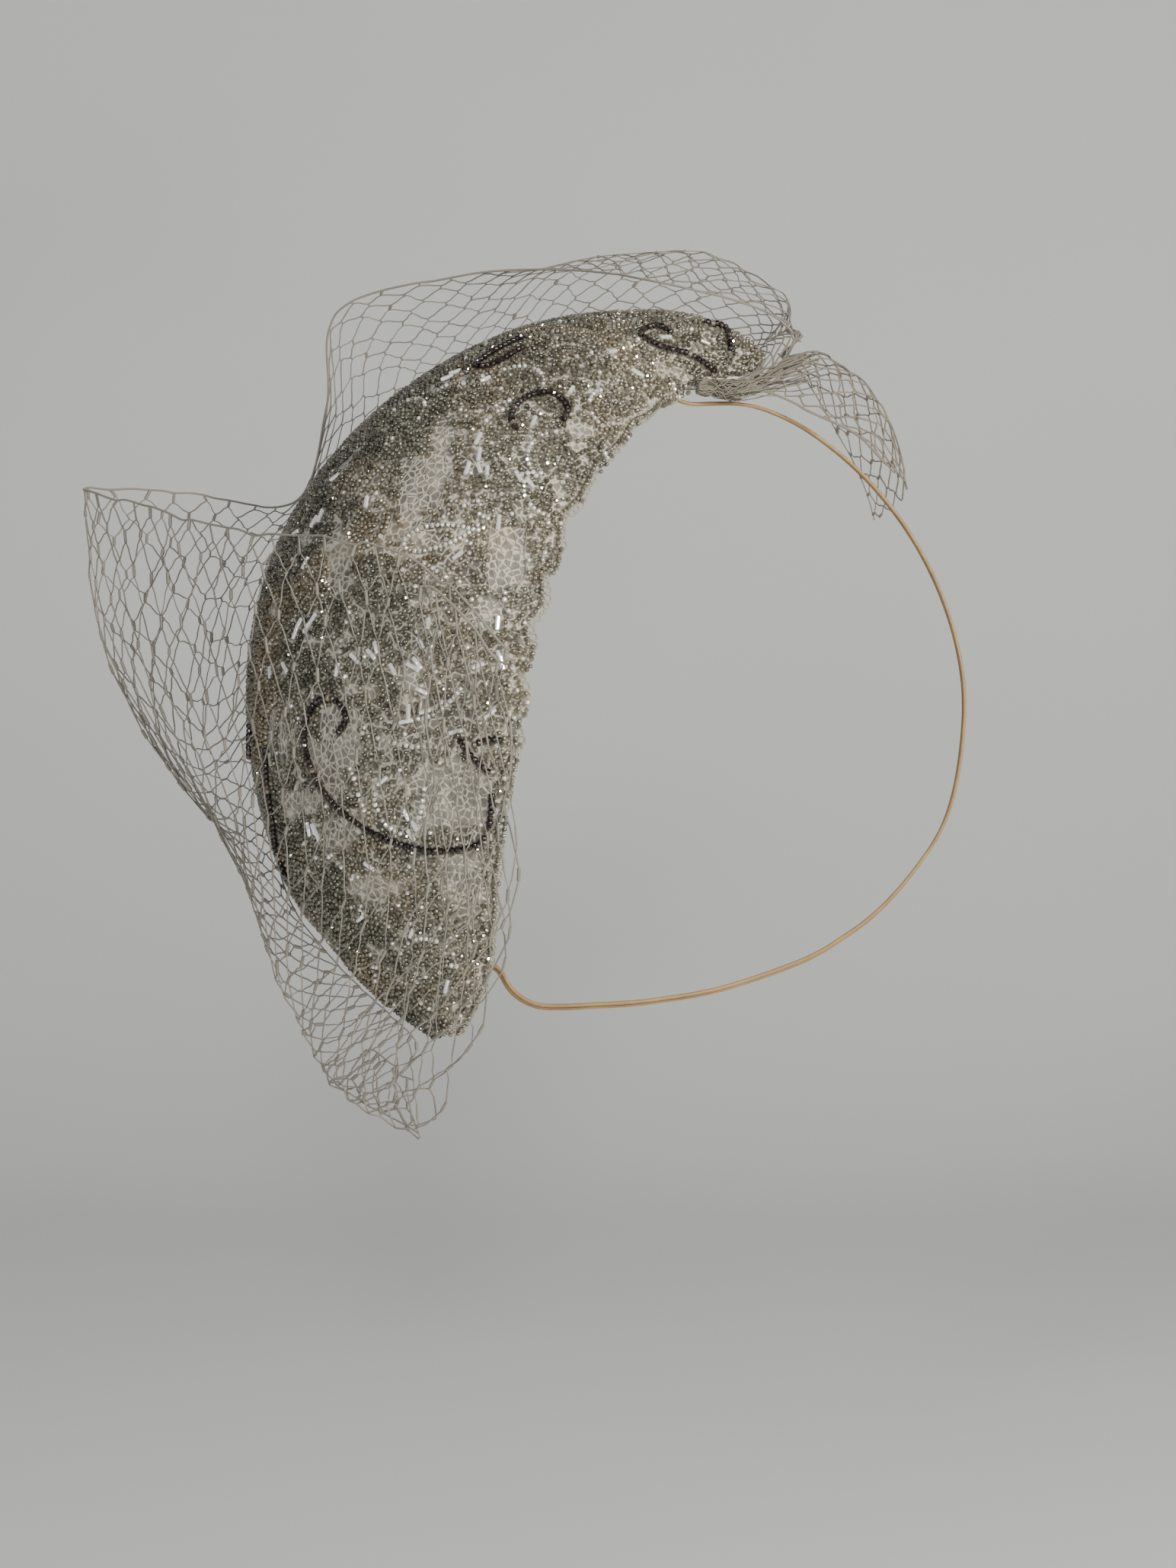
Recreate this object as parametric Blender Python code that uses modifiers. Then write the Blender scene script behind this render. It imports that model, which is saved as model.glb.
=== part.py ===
"""Beaded lace half hat on a stiff crescent shell, with a net veil and a double elastic.

Every length here is in millimetres and is turned into metres where a mesh is made. The tables
are measured from the middle of the space for the head: +X is the back of the head, -Y its left
side and +Z up. Every object then moves by SEAT, which puts the middle of the shell's inner face
at the world's origin.
"""

import functools
import math

import bmesh
import bpy
import numpy as np
from mathutils import Vector

OBJECT_NAME = "lace_headpiece"
MM = 0.001
GAP = 0.3

# The middle of the shell's inner face, where a head holds it.
SEAT = np.array((-93.9, -43.3, 34.6))
# Seen positions are read 0.85 m to the left of the head, on the plane through its middle.
EYE = np.array((-17.3, -850.0, -23.1))
HEAD_MIDDLE = np.array((-5.0, 0.0, 0.0))

SHELL_THICKNESS = 2.0
LACE_THICKNESS = 1.2
LACE_GAP = 0.5

# One row for each section of the crescent, from its left tip to its top tip.
# Columns: rear edge x, y, z; front edge x, y, z; rise of the arc between the two edges.
SHELL_SECTIONS = np.array((
    (-53.0, -54.0, -90.0, -58.0, -51.0, -91.0, 0.8),
    (-47.0, -59.0, -78.0, -65.0, -47.0, -87.0, 3.0),
    (-44.5, -63.0, -66.0, -75.0, -40.0, -80.0, 6.0),
    (-43.5, -68.0, -48.0, -87.0, -29.0, -68.0, 12.0),
    (-42.0, -72.0, -27.0, -100.0, -10.0, -51.0, 22.0),
    (-39.0, -74.5, -8.0, -107.0, 8.0, -22.0, 30.0),
    (-37.5, -74.5, 11.0, -106.5, 20.0, 12.0, 34.0),
    (-32.5, -71.0, 29.0, -97.0, 25.0, 44.0, 34.0),
    (-25.0, -63.0, 51.0, -76.0, 26.0, 71.0, 30.0),
    (-11.5, -46.0, 72.0, -46.0, 25.0, 92.0, 24.0),
    (1.5, -23.0, 86.0, -14.0, 23.0, 102.0, 18.0),
    (13.5, -10.5, 91.5, 9.0, 20.0, 105.0, 13.5),
    (24.0, -3.5, 94.5, 22.0, 16.0, 105.0, 8.0),
    (31.5, 1.0, 96.5, 31.5, 8.0, 102.0, 2.0),
))
ACROSS_CELLS = 8
FOUNDATION_CELLS = (36, ACROSS_CELLS)

# The lace's grid has one more row beyond each edge of the foundation's: scallops at the rear,
# as shares of the shell's width.
LACE_CELLS = (72, ACROSS_CELLS + 2)
LACE_SCALLOPS = 18
LACE_SCALLOP_VALLEY = 0.009
LACE_SCALLOP_TIP = 0.030
LACE_FRONT_OVERHANG = 0.010

# One row for each fold of the veil, from the top tip forwards and down to the left tip.
# Columns: where it is sewn along the shell's front edge and how far above it; then, as x, y, z,
# the net near the seam, the net near the hem and the hem itself.
VEIL_FOLDS = np.array((
    (0.985, 4.6, 36.0, 13.0, 108.0, 41.0, 16.0, 110.5, 46.0, 15.0, 108.0),
    (0.930, 5.0, 36.0, 34.0, 116.0, 42.0, 32.0, 125.0, 34.0, 11.0, 117.0),
    (0.860, 4.8, 12.0, 42.0, 124.0, 18.0, 36.0, 138.0, 3.0, 4.0, 124.0),
    (0.780, 4.1, -22.0, 40.0, 120.0, -20.0, 40.0, 136.0, -24.0, 18.0, 130.0),
    (0.710, 4.1, -50.0, 38.0, 106.0, -53.0, 40.0, 120.0, -56.0, 28.0, 130.0),
    (0.650, 4.5, -72.0, 38.0, 94.0, -84.0, 41.0, 108.0, -93.0, 32.0, 120.0),
    (0.595, 4.9, -88.0, 37.0, 74.0, -95.0, 41.0, 84.0, -97.0, 38.0, 92.0),
    (0.530, 4.9, -107.0, 35.0, 42.0, -110.0, 41.0, 53.0, -107.0, 40.0, 63.0),
    (0.455, 4.1, -129.0, 21.0, -8.0, -140.0, 26.0, 28.0, -138.0, 20.0, 64.0),
    (0.385, 4.8, -134.0, 2.0, -24.0, -159.0, 2.0, 19.0, -164.0, -2.0, 63.0),
    (0.315, 5.4, -121.0, -20.0, -38.0, -140.0, -28.0, 4.0, -143.0, -24.0, 56.0),
    (0.255, 5.0, -113.0, -30.0, -54.0, -120.0, -47.0, -3.0, -124.0, -40.0, 49.5),
    (0.195, 4.1, -106.0, -38.0, -72.0, -100.0, -64.0, -14.0, -104.0, -57.0, 45.0),
    (0.140, 3.8, -97.0, -45.0, -90.0, -80.0, -77.0, -30.0, -80.0, -73.0, 42.0),
    (0.085, 4.6, -86.0, -50.0, -105.0, -57.0, -81.0, -50.0, -58.0, -83.0, 33.0),
    (0.035, 6.0, -62.0, -54.0, -119.0, -37.0, -77.0, -62.0, -38.5, -86.5, 12.0),
))
VEIL_CELLS = (12, 4)

# One row for each fold of the loose end of the net behind the top tip, from the tip backwards.
# Columns, each as x, y, z: the near edge, the ridge over the head and the far edge.
VEIL_END_FOLDS = np.array((
    (26.0, -10.0, 90.0, 39.0, 2.0, 100.0, 39.0, 14.0, 104.5),
    (35.0, -8.0, 90.0, 52.0, 10.0, 104.0, 49.0, 30.0, 98.0),
    (48.0, -4.0, 84.5, 63.0, 13.0, 97.0, 59.0, 41.0, 84.0),
    (61.0, 1.0, 79.0, 73.0, 15.0, 83.0, 67.0, 46.0, 70.0),
    (70.0, 6.0, 71.0, 78.0, 18.0, 64.0, 71.0, 48.0, 58.0),
))
VEIL_END_CELLS = (2, 2)
NET_BAR = 1.6

# The pleated root of the net under the top tip: its two ends, its radius at each and its pleats.
GATHER_START = np.array((14.0, -15.5, 90.5))
GATHER_END = np.array((25.5, -12.5, 90.0))
GATHER_RADII = (2.2, 3.4)
GATHER_PLEATS = 7
GATHER_PLEAT_DEPTH = 0.16
GATHER_RINGS = 4

STRAND_RADIUS = 0.55
STRAND_SPACING = 1.45
STRAND_POINTS = 52
# Where the elastic runs under the left tip's inner face and the top tip's, along and across.
ELASTIC_LEFT_END = ((0.075, 0.50), (0.085, 0.15), (0.090, -0.20))
ELASTIC_TOP_END = ((0.800, 0.04), (0.795, 0.14))
ELASTIC_SEAT_LIFT = -(SHELL_THICKNESS + 5 * GAP + STRAND_RADIUS)
# Its route between them, x, y, z: under the ear, round the back of the head and over its top.
ELASTIC_ROUTE = np.array((
    (-34.0, -58.0, -82.6),
    (-11.5, -56.5, -83.2),
    (3.0, -53.0, -82.1),
    (20.0, -47.0, -79.4),
    (42.0, -35.5, -72.8),
    (53.5, -28.0, -67.2),
    (65.0, -19.5, -59.6),
    (76.8, -9.5, -48.0),
    (86.6, -1.0, -34.0),
    (92.0, 6.5, -16.0),
    (93.5, 10.5, 6.0),
    (89.0, 12.5, 28.0),
    (79.0, 12.0, 49.0),
    (64.5, 9.0, 67.0),
    (47.0, 4.0, 80.5),
    (31.0, -3.0, 86.6),
    (18.0, -9.5, 86.6),
    (8.5, -12.0, 86.8),
))

# The strings of dark beads: radius, how far apart a tube's points are, and the points that each
# string passes, as x, z on the head's middle plane, seen from EYE.
STRING_RADIUS = 1.1
STRING_STEP = 4.6
STRING_LIFT = LACE_GAP + LACE_THICKNESS + GAP + STRING_RADIUS
STRINGS = {
    "bead_scroll_large": (
        (-88.0, -8.0), (-86.0, -3.5), (-89.5, 1.5), (-94.5, 0.5), (-97.5, -6.0), (-97.0, -14.0),
        (-94.0, -22.0), (-88.0, -30.0), (-78.0, -37.0), (-65.0, -41.5), (-53.0, -41.0),
        (-47.5, -37.0), (-46.0, -26.0),
    ),
    "bead_string_front_upper": ((-113.0, -6.0), (-113.0, -14.5), (-112.0, -22.0)),
    "bead_string_front_lower": (
        (-108.5, -13.0), (-108.0, -23.0), (-106.5, -33.0), (-105.5, -41.0), (-103.0, -48.0),
    ),
    "bead_curl_rear": ((-55.0, -9.0), (-52.5, -13.5), (-47.0, -19.0)),
    "bead_curl_rear_end": ((-50.5, -11.5), (-47.0, -10.0), (-43.5, -10.0)),
    "bead_arch": (
        (-38.5, 79.0), (-39.5, 82.5), (-36.0, 87.0), (-28.5, 89.0), (-24.0, 85.0), (-25.0, 81.5),
    ),
    "bead_hook_top": (
        (5.5, 106.5), (2.0, 108.3), (-3.0, 106.0), (2.5, 102.8), (11.0, 101.0), (17.5, 97.5),
    ),
    "bead_hook_tip": ((16.5, 109.0), (21.5, 107.5), (22.5, 102.5)),
    "bead_hook_edge": (
        (-36.0, 104.5), (-44.0, 100.5), (-49.0, 96.5), (-44.0, 97.0), (-36.0, 101.5),
    ),
}


def smooth_row(table, at):
    """The table's row at a fractional row number, on a smooth curve through its rows."""
    last = len(table) - 1
    at = min(max(at, 0.0), float(last))
    row = min(int(at), last - 1)
    part = at - row
    before, start = table[max(row - 1, 0)], table[row]
    end, after = table[row + 1], table[min(row + 2, last)]
    return 0.5 * (
        2 * start
        + (end - before) * part
        + (2 * before - 5 * start + 4 * end - after) * part**2
        + (3 * start - before - 3 * end + after) * part**3
    )


def section_arc(along):
    """The arc's middle, its outward and crosswise directions, radius and half angle."""
    row = smooth_row(SHELL_SECTIONS, along * (len(SHELL_SECTIONS) - 1))
    rear, front, rise = row[0:3], row[3:6], row[6]
    chord = np.linalg.norm(front - rear)
    across = (front - rear) / chord
    middle = (rear + front) / 2
    outward = middle - HEAD_MIDDLE
    outward -= across * (outward @ across)
    outward /= np.linalg.norm(outward)
    radius = (chord**2 / 4 + rise**2) / (2 * rise)
    return middle + outward * (rise - radius), outward, across, radius, 2 * math.atan(2 * rise / chord)


def shell_place(along, across):
    """A point of the shell's outer face: along from 0 to 1 tip to tip, across from rear to front."""
    centre, outward, cross, radius, half = section_arc(along)
    turn = (2 * across - 1) * half
    return centre + radius * (math.cos(turn) * outward + math.sin(turn) * cross)


def shell_normal(along, across):
    """The outward direction of the shell's outer face."""
    step = 0.004
    low, high = max(along - step, 0.0), min(along + step, 1.0)
    run = shell_place(high, across) - shell_place(low, across)
    side = shell_place(along, across + step) - shell_place(along, across - step)
    normal = np.cross(run, side)
    normal /= np.linalg.norm(normal)
    outward = section_arc(along)[1]
    return normal if normal @ outward > 0 else -normal


def on_shell(along, across, lift):
    """A point that far above the shell's outer face."""
    return shell_place(along, across) + shell_normal(along, across) * lift


@functools.cache
def veil_reach():
    """Fractional fold numbers of the veil, and how far along its middle line each one is, 0 to 1."""
    folds = np.linspace(0, len(VEIL_FOLDS) - 1, 8 * len(VEIL_FOLDS))
    middle = np.array([smooth_row(VEIL_FOLDS, fold)[5:8] for fold in folds])
    reach = np.concatenate(([0.0], np.cumsum(np.linalg.norm(np.diff(middle, axis=0), axis=1))))
    return folds, reach / reach[-1]


def veil_place(along, down):
    """A point of the veil: along from 0 to 1 over its folds, down from the hem to the seam."""
    folds, reach = veil_reach()
    row = smooth_row(VEIL_FOLDS, np.interp(along, reach, folds))
    seam = on_shell(row[0], 1.0, row[1])
    cage = np.array((row[8:11], row[5:8], row[2:5], seam))
    return smooth_row(cage, down * 3)


def veil_end_place(along, down):
    """A point of the veil's loose end: along its folds, down from its near to its far edge."""
    row = smooth_row(VEIL_END_FOLDS, along * (len(VEIL_END_FOLDS) - 1))
    return smooth_row(row.reshape(3, 3), down * 2)


def seen_place(point):
    """Where a point shows on the head's middle plane, as x and z."""
    share = EYE[1] / (EYE[1] - point[1])
    return EYE[[0, 2]] + (point[[0, 2]] - EYE[[0, 2]]) * share


@functools.cache
def facing_places():
    """A net of places on the shell that face EYE: their along and across, and where each shows."""
    places = [(a, c) for a in np.linspace(0.02, 0.98, 49) for c in np.linspace(0.04, 0.9, 24)]
    places = [at for at in places if shell_normal(*at) @ (EYE - shell_place(*at)) > 0]
    return np.array(places), np.array([seen_place(shell_place(*at)) for at in places])


def find_on_shell(seen):
    """The shell's along and across where a seen x and z lies, or nearest to it."""
    places, shown = facing_places()
    at = places[np.argmin(np.sum((shown - seen) ** 2, axis=1))]
    step, damping = 1e-4, 0.5
    for _ in range(12):
        here = seen_place(shell_place(*at))
        slope = np.column_stack([
            (seen_place(shell_place(*(at + shift))) - here) / step
            for shift in (np.array((step, 0.0)), np.array((0.0, step)))
        ])
        at = at + np.linalg.solve(slope.T @ slope + damping * np.eye(2), slope.T @ (seen - here))
        at = np.clip(at, 0.0, 1.0)
    return at


def smooth_line(points, step):
    """Points a step apart along a smooth curve through the given ones."""
    fine = np.array([smooth_row(points, at) for at in np.linspace(0, len(points) - 1, 400)])
    reach = np.concatenate(([0.0], np.cumsum(np.linalg.norm(np.diff(fine, axis=0), axis=1))))
    places = np.linspace(0.0, reach[-1], max(3, round(reach[-1] / step) + 1))
    return np.column_stack([np.interp(places, reach, fine[:, axis]) for axis in range(3)])


def finish(name, colour, roughness, metallic=0.0):
    """A material with the piece's colour."""
    material = bpy.data.materials.new(name)
    material.use_nodes = True
    shader = material.node_tree.nodes["Principled BSDF"]
    shader.inputs["Base Color"].default_value = (*colour, 1.0)
    shader.inputs["Roughness"].default_value = roughness
    shader.inputs["Metallic"].default_value = metallic
    return material


def add_object(name, data, material, collection):
    """An object of that name and material, in the collection."""
    item = bpy.data.objects.new(name, data)
    item.data.materials.append(material)
    item.location = Vector(-SEAT * MM)
    collection.objects.link(item)
    return item


def bent_grid(cells, place):
    """A grid primitive whose every corner goes where place says, from two numbers 0 to 1."""
    mesh = bmesh.new()
    bmesh.ops.create_grid(mesh, x_segments=cells[0], y_segments=cells[1], size=0.5)
    for corner in mesh.verts:
        corner.co = Vector(place(corner.co.x + 0.5, corner.co.y + 0.5) * MM)
    return mesh


def mesh_object(name, mesh, material, collection):
    """An object made from a bmesh."""
    data = bpy.data.meshes.new(name)
    mesh.to_mesh(data)
    mesh.free()
    return add_object(name, data, material, collection)


def thicken(item, thickness, offset):
    """Gives an open surface its thickness."""
    wall = item.modifiers.new("wall", "SOLIDIFY")
    wall.thickness = thickness * MM
    wall.offset = offset
    wall.use_even_offset = True
    return item


def make_foundation(collection):
    """The stiff crescent that holds the hat's form."""
    mesh = bent_grid(FOUNDATION_CELLS, lambda along, across: on_shell(
        along, across, -SHELL_THICKNESS / 2))
    item = mesh_object("foundation", mesh, finish("white_buckram", (0.80, 0.79, 0.76), 0.8), collection)
    return thicken(item, SHELL_THICKNESS, 0.0)


def lace_across(along, across):
    """The shell's across for a row of the lace's grid, whose first row follows the scallops."""
    row = round(across * LACE_CELLS[1]) - 1
    if row < 0:
        scallop = abs(math.sin(math.pi * LACE_SCALLOPS * along))
        return -(LACE_SCALLOP_VALLEY + (LACE_SCALLOP_TIP - LACE_SCALLOP_VALLEY) * scallop)
    if row > ACROSS_CELLS:
        return 1 + LACE_FRONT_OVERHANG
    return row / ACROSS_CELLS


def make_lace_cover(collection):
    """The beaded lace over the foundation."""
    lift = LACE_GAP + LACE_THICKNESS / 2
    mesh = bent_grid(LACE_CELLS, lambda along, across: on_shell(
        along, lace_across(along, across), lift))
    item = mesh_object("lace_cover", mesh, finish("beaded_lace", (0.55, 0.52, 0.44), 0.45), collection)
    return thicken(item, LACE_THICKNESS, 0.0)


def make_net(name, cells, place, collection):
    """A net of bars round diamonds: each cell of a grid is poked and its old sides dissolved."""
    mesh = bmesh.new()
    bmesh.ops.create_grid(mesh, x_segments=cells[0], y_segments=cells[1], size=0.5)
    sides = [edge for edge in mesh.edges if not edge.is_boundary]
    bmesh.ops.poke(mesh, faces=mesh.faces[:])
    bmesh.ops.dissolve_edges(mesh, edges=sides)
    for corner in mesh.verts:
        corner.co = Vector(place(corner.co.x + 0.5, corner.co.y + 0.5) * MM)
    item = mesh_object(name, mesh, finish(name + "_net", (0.78, 0.76, 0.70), 0.6), collection)
    bars = item.modifiers.new("bars", "WIREFRAME")
    bars.thickness = NET_BAR * MM
    bars.offset = 0.0
    bars.use_even_offset = False
    bars.use_boundary = True
    return item


def make_gather(collection):
    """The pleated root of the net, a fluted cone that widens towards the net's loose end."""
    mesh = bmesh.new()
    sides = 4 * GATHER_PLEATS
    bmesh.ops.create_cone(mesh, cap_ends=True, segments=sides, radius1=1.0, radius2=1.0, depth=1.0)
    walls = [edge for edge in mesh.edges if abs(edge.verts[0].co.z - edge.verts[1].co.z) > 0.5]
    bmesh.ops.subdivide_edges(mesh, edges=walls, cuts=GATHER_RINGS)
    axis = Vector(GATHER_END - GATHER_START)
    turn = axis.to_track_quat("Z", "Y")
    for corner in mesh.verts:
        share = corner.co.z + 0.5
        angle = math.atan2(corner.co.y, corner.co.x)
        radius = GATHER_RADII[0] + (GATHER_RADII[1] - GATHER_RADII[0]) * share
        radius *= 1 + GATHER_PLEAT_DEPTH * math.cos(GATHER_PLEATS * angle)
        place = Vector((radius * math.cos(angle), radius * math.sin(angle), share * axis.length))
        corner.co = (Vector(GATHER_START) + turn @ place) * MM
    return mesh_object("net_gather", mesh, finish("gathered_net", (0.74, 0.72, 0.64), 0.6), collection)


def make_tube(name, points, radius, material, collection):
    """A tube with filled ends through the points."""
    curve = bpy.data.curves.new(name, "CURVE")
    curve.dimensions = "3D"
    curve.bevel_depth = radius * MM
    curve.bevel_resolution = 1
    curve.use_fill_caps = True
    spline = curve.splines.new("POLY")
    spline.points.add(len(points) - 1)
    for corner, point in zip(spline.points, points):
        corner.co = (*(point * MM), 1.0)
    return add_object(name, curve, material, collection)


def elastic_middle():
    """The line midway between the two strands of the elastic, and the direction from one to the other."""
    left = [on_shell(*at, ELASTIC_SEAT_LIFT) for at in ELASTIC_LEFT_END]
    top = [on_shell(*at, ELASTIC_SEAT_LIFT) for at in ELASTIC_TOP_END]
    line = np.vstack((left, ELASTIC_ROUTE, top))
    middle = smooth_line(line, 1.0)
    places = np.linspace(0, len(middle) - 1, STRAND_POINTS)
    middle = np.column_stack([np.interp(places, range(len(middle)), middle[:, k]) for k in range(3)])
    run = np.gradient(middle, axis=0)
    side = np.cross(run, middle - HEAD_MIDDLE)
    return middle, side / np.linalg.norm(side, axis=1)[:, None]


def make_elastic(collection):
    """The two round strands of the elastic, side by side on the head."""
    middle, side = elastic_middle()
    material = finish("gold_elastic", (0.50, 0.37, 0.20), 0.5)
    return [
        make_tube(name, middle + side * shift, STRAND_RADIUS, material, collection)
        for name, shift in (
            ("elastic_upper", STRAND_SPACING / 2),
            ("elastic_lower", -STRAND_SPACING / 2),
        )
    ]


def make_strings(collection):
    """The strings of dark beads, each a tube that lies on the lace."""
    material = finish("dark_beads", (0.05, 0.035, 0.025), 0.25, 0.4)
    items = []
    for name, route in STRINGS.items():
        places = np.array([find_on_shell(np.array(seen)) for seen in route])
        places = np.column_stack((places, np.zeros(len(places))))
        fine = [smooth_row(places, at) for at in np.linspace(0, len(places) - 1, 8 * len(places))]
        line = np.array([on_shell(row[0], row[1], STRING_LIFT) for row in fine])
        items.append(make_tube(name, smooth_line(line, STRING_STEP), STRING_RADIUS, material, collection))
    return items


def main():
    """Clears the scene and makes every piece."""
    for item in list(bpy.data.objects):
        bpy.data.objects.remove(item, do_unlink=True)
    collection = bpy.data.collections.new(OBJECT_NAME)
    bpy.context.scene.collection.children.link(collection)
    make_foundation(collection)
    make_lace_cover(collection)
    make_net("veil", VEIL_CELLS, veil_place, collection)
    make_net("veil_end", VEIL_END_CELLS, veil_end_place, collection)
    make_gather(collection)
    make_elastic(collection)
    make_strings(collection)


main()
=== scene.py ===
"""Looks of the beaded lace half hat: lace, beads, bugles, net veil, elastic, light and camera.

Tables and lengths are in millimetres from the middle of the space for the head, as in the part's
source: +X is the back of the head, -Y its left side, +Z up. Meshes are in metres in the row frame.
"""

import logging
import math
from dataclasses import dataclass, field
from enum import Enum
from itertools import product
from typing import Callable, Iterable

import bmesh
import bpy
import numpy as np
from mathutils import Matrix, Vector
from mathutils.bvhtree import BVHTree


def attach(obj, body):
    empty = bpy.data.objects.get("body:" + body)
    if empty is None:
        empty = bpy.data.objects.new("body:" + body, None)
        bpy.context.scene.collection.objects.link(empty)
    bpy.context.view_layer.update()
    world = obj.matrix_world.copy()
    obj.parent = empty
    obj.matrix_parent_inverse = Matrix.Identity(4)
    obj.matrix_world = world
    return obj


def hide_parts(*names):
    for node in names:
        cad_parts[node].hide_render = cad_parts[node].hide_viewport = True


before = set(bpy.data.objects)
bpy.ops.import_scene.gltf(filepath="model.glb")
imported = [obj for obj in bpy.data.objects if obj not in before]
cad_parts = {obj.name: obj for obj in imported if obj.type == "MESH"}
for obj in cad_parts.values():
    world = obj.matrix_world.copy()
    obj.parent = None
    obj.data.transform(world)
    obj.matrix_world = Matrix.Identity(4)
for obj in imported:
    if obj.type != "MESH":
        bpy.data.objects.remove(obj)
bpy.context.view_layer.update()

LOG = logging.getLogger("lace_headpiece")
Socket = bpy.types.NodeSocket

MM = 0.001
SEAT = np.array((-93.9, -43.3, 34.6))
EYE = np.array((-17.3, -850.0, -23.1))
HEAD_MIDDLE = np.array((-5.0, 0.0, 0.0))
PHOTO_SIZE = (1544, 2058)
PHOTO_MIDDLE = np.array((850.0, 925.0))
PIXELS_PER_MM = 4.5
# The scale at which a wave texture has one band for each unit of length.
WAVE_BAND = 0.314
# The cells in which sewn beads are looked up, and the cells round one.
CELL_MM = 2
NEIGHBOURS = tuple(product((-1, 0, 1), repeat=3))

GAP = 0.3
SHELL_THICKNESS = 2.0
LACE_THICKNESS = 1.2
LACE_GAP = 0.5
LACE_FACE = LACE_GAP + LACE_THICKNESS

# The shell from its lower to its upper tip: rear edge, front edge, and how high it arches between.
SHELL_SECTIONS = np.array((
    (-53, -54, -90, -58, -51, -91, 0.8), (-47, -59, -78, -65, -47, -87, 3),
    (-44.5, -63, -66, -75, -40, -80, 6), (-43.5, -68, -48, -87, -29, -68, 12),
    (-42, -72, -27, -100, -10, -51, 22), (-39, -74.5, -8, -107, 8, -22, 30),
    (-37.5, -74.5, 11, -106.5, 20, 12, 34), (-32.5, -71, 29, -97, 25, 44, 34),
    (-25, -63, 51, -76, 26, 71, 30), (-11.5, -46, 72, -46, 25, 92, 24), (1.5, -23, 86, -14, 23, 102, 18),
    (13.5, -10.5, 91.5, 9, 20, 105, 13.5), (24, -3.5, 94.5, 22, 16, 105, 8),
    (31.5, 1, 96.5, 31.5, 8, 102, 2),
))
# The veil's folds: place along the seam and lift over it, then a near, a middle and a hem point.
VEIL_FOLDS = np.array((
    (0.985, 4.6, 36, 13, 108, 41, 16, 110.5, 46, 15, 108),
    (0.930, 5, 36, 34, 116, 42, 32, 125, 34, 11, 117), (0.860, 4.8, 12, 42, 124, 18, 36, 138, 3, 4, 124),
    (0.780, 4.1, -22, 40, 120, -20, 40, 136, -24, 18, 130),
    (0.710, 4.1, -50, 38, 106, -53, 40, 120, -56, 28, 130),
    (0.650, 4.5, -72, 38, 94, -84, 41, 108, -93, 32, 120),
    (0.595, 4.9, -88, 37, 74, -95, 41, 84, -97, 38, 92),
    (0.530, 4.9, -107, 35, 42, -110, 41, 53, -107, 40, 63),
    (0.455, 4.1, -129, 21, -8, -140, 26, 28, -138, 20, 64),
    (0.385, 4.8, -134, 2, -24, -159, 2, 19, -164, -2, 63),
    (0.315, 5.4, -121, -20, -38, -140, -28, 4, -143, -24, 56),
    (0.255, 5, -113, -30, -54, -120, -47, -3, -124, -40, 49.5),
    (0.195, 4.1, -106, -38, -72, -100, -64, -14, -104, -57, 45),
    (0.140, 3.8, -97, -45, -90, -80, -77, -30, -80, -73, 42),
    (0.085, 4.6, -86, -50, -105, -57, -81, -50, -58, -83, 33),
    (0.035, 6, -62, -54, -119, -37, -77, -62, -38.5, -86.5, 12),
))
# The folds of the loose end: three points each.
VEIL_END_FOLDS = np.array((
    (26, -10, 90, 39, 2, 100, 39, 14, 104.5), (35, -8, 90, 52, 10, 104, 49, 30, 98),
    (48, -4, 84.5, 63, 13, 97, 59, 41, 84), (61, 1, 79, 73, 15, 83, 67, 46, 70),
    (70, 6, 71, 78, 18, 64, 71, 48, 58),
))
GATHER_START = np.array((14.0, -15.5, 90.5))
GATHER_END = np.array((25.5, -12.5, 90.0))
GATHER_RADII = (2.2, 3.4)

STRAND_RADIUS = 0.55
STRAND_SPACING = 1.45
STRAND_POINTS = 52
ELASTIC_LEFT_END = np.array(((0.075, 0.50), (0.085, 0.15), (0.090, -0.20)))
ELASTIC_TOP_END = np.array(((0.800, 0.04), (0.795, 0.14)))
ELASTIC_SEAT_LIFT = -(SHELL_THICKNESS + 5 * GAP + STRAND_RADIUS)
ELASTIC_ROUTE = np.array((
    (-34, -58, -82.6), (-11.5, -56.5, -83.2), (3, -53, -82.1), (20, -47, -79.4), (42, -35.5, -72.8),
    (53.5, -28, -67.2), (65, -19.5, -59.6), (76.8, -9.5, -48), (86.6, -1, -34), (92, 6.5, -16),
    (93.5, 10.5, 6), (89, 12.5, 28), (79, 12, 49), (64.5, 9, 67), (47, 4, 80.5), (31, -3, 86.6),
    (18, -9.5, 86.6), (8.5, -12, 86.8),
))

STRING_RADIUS = 1.1
STRING_LIFT = LACE_FACE + GAP + STRING_RADIUS
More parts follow.
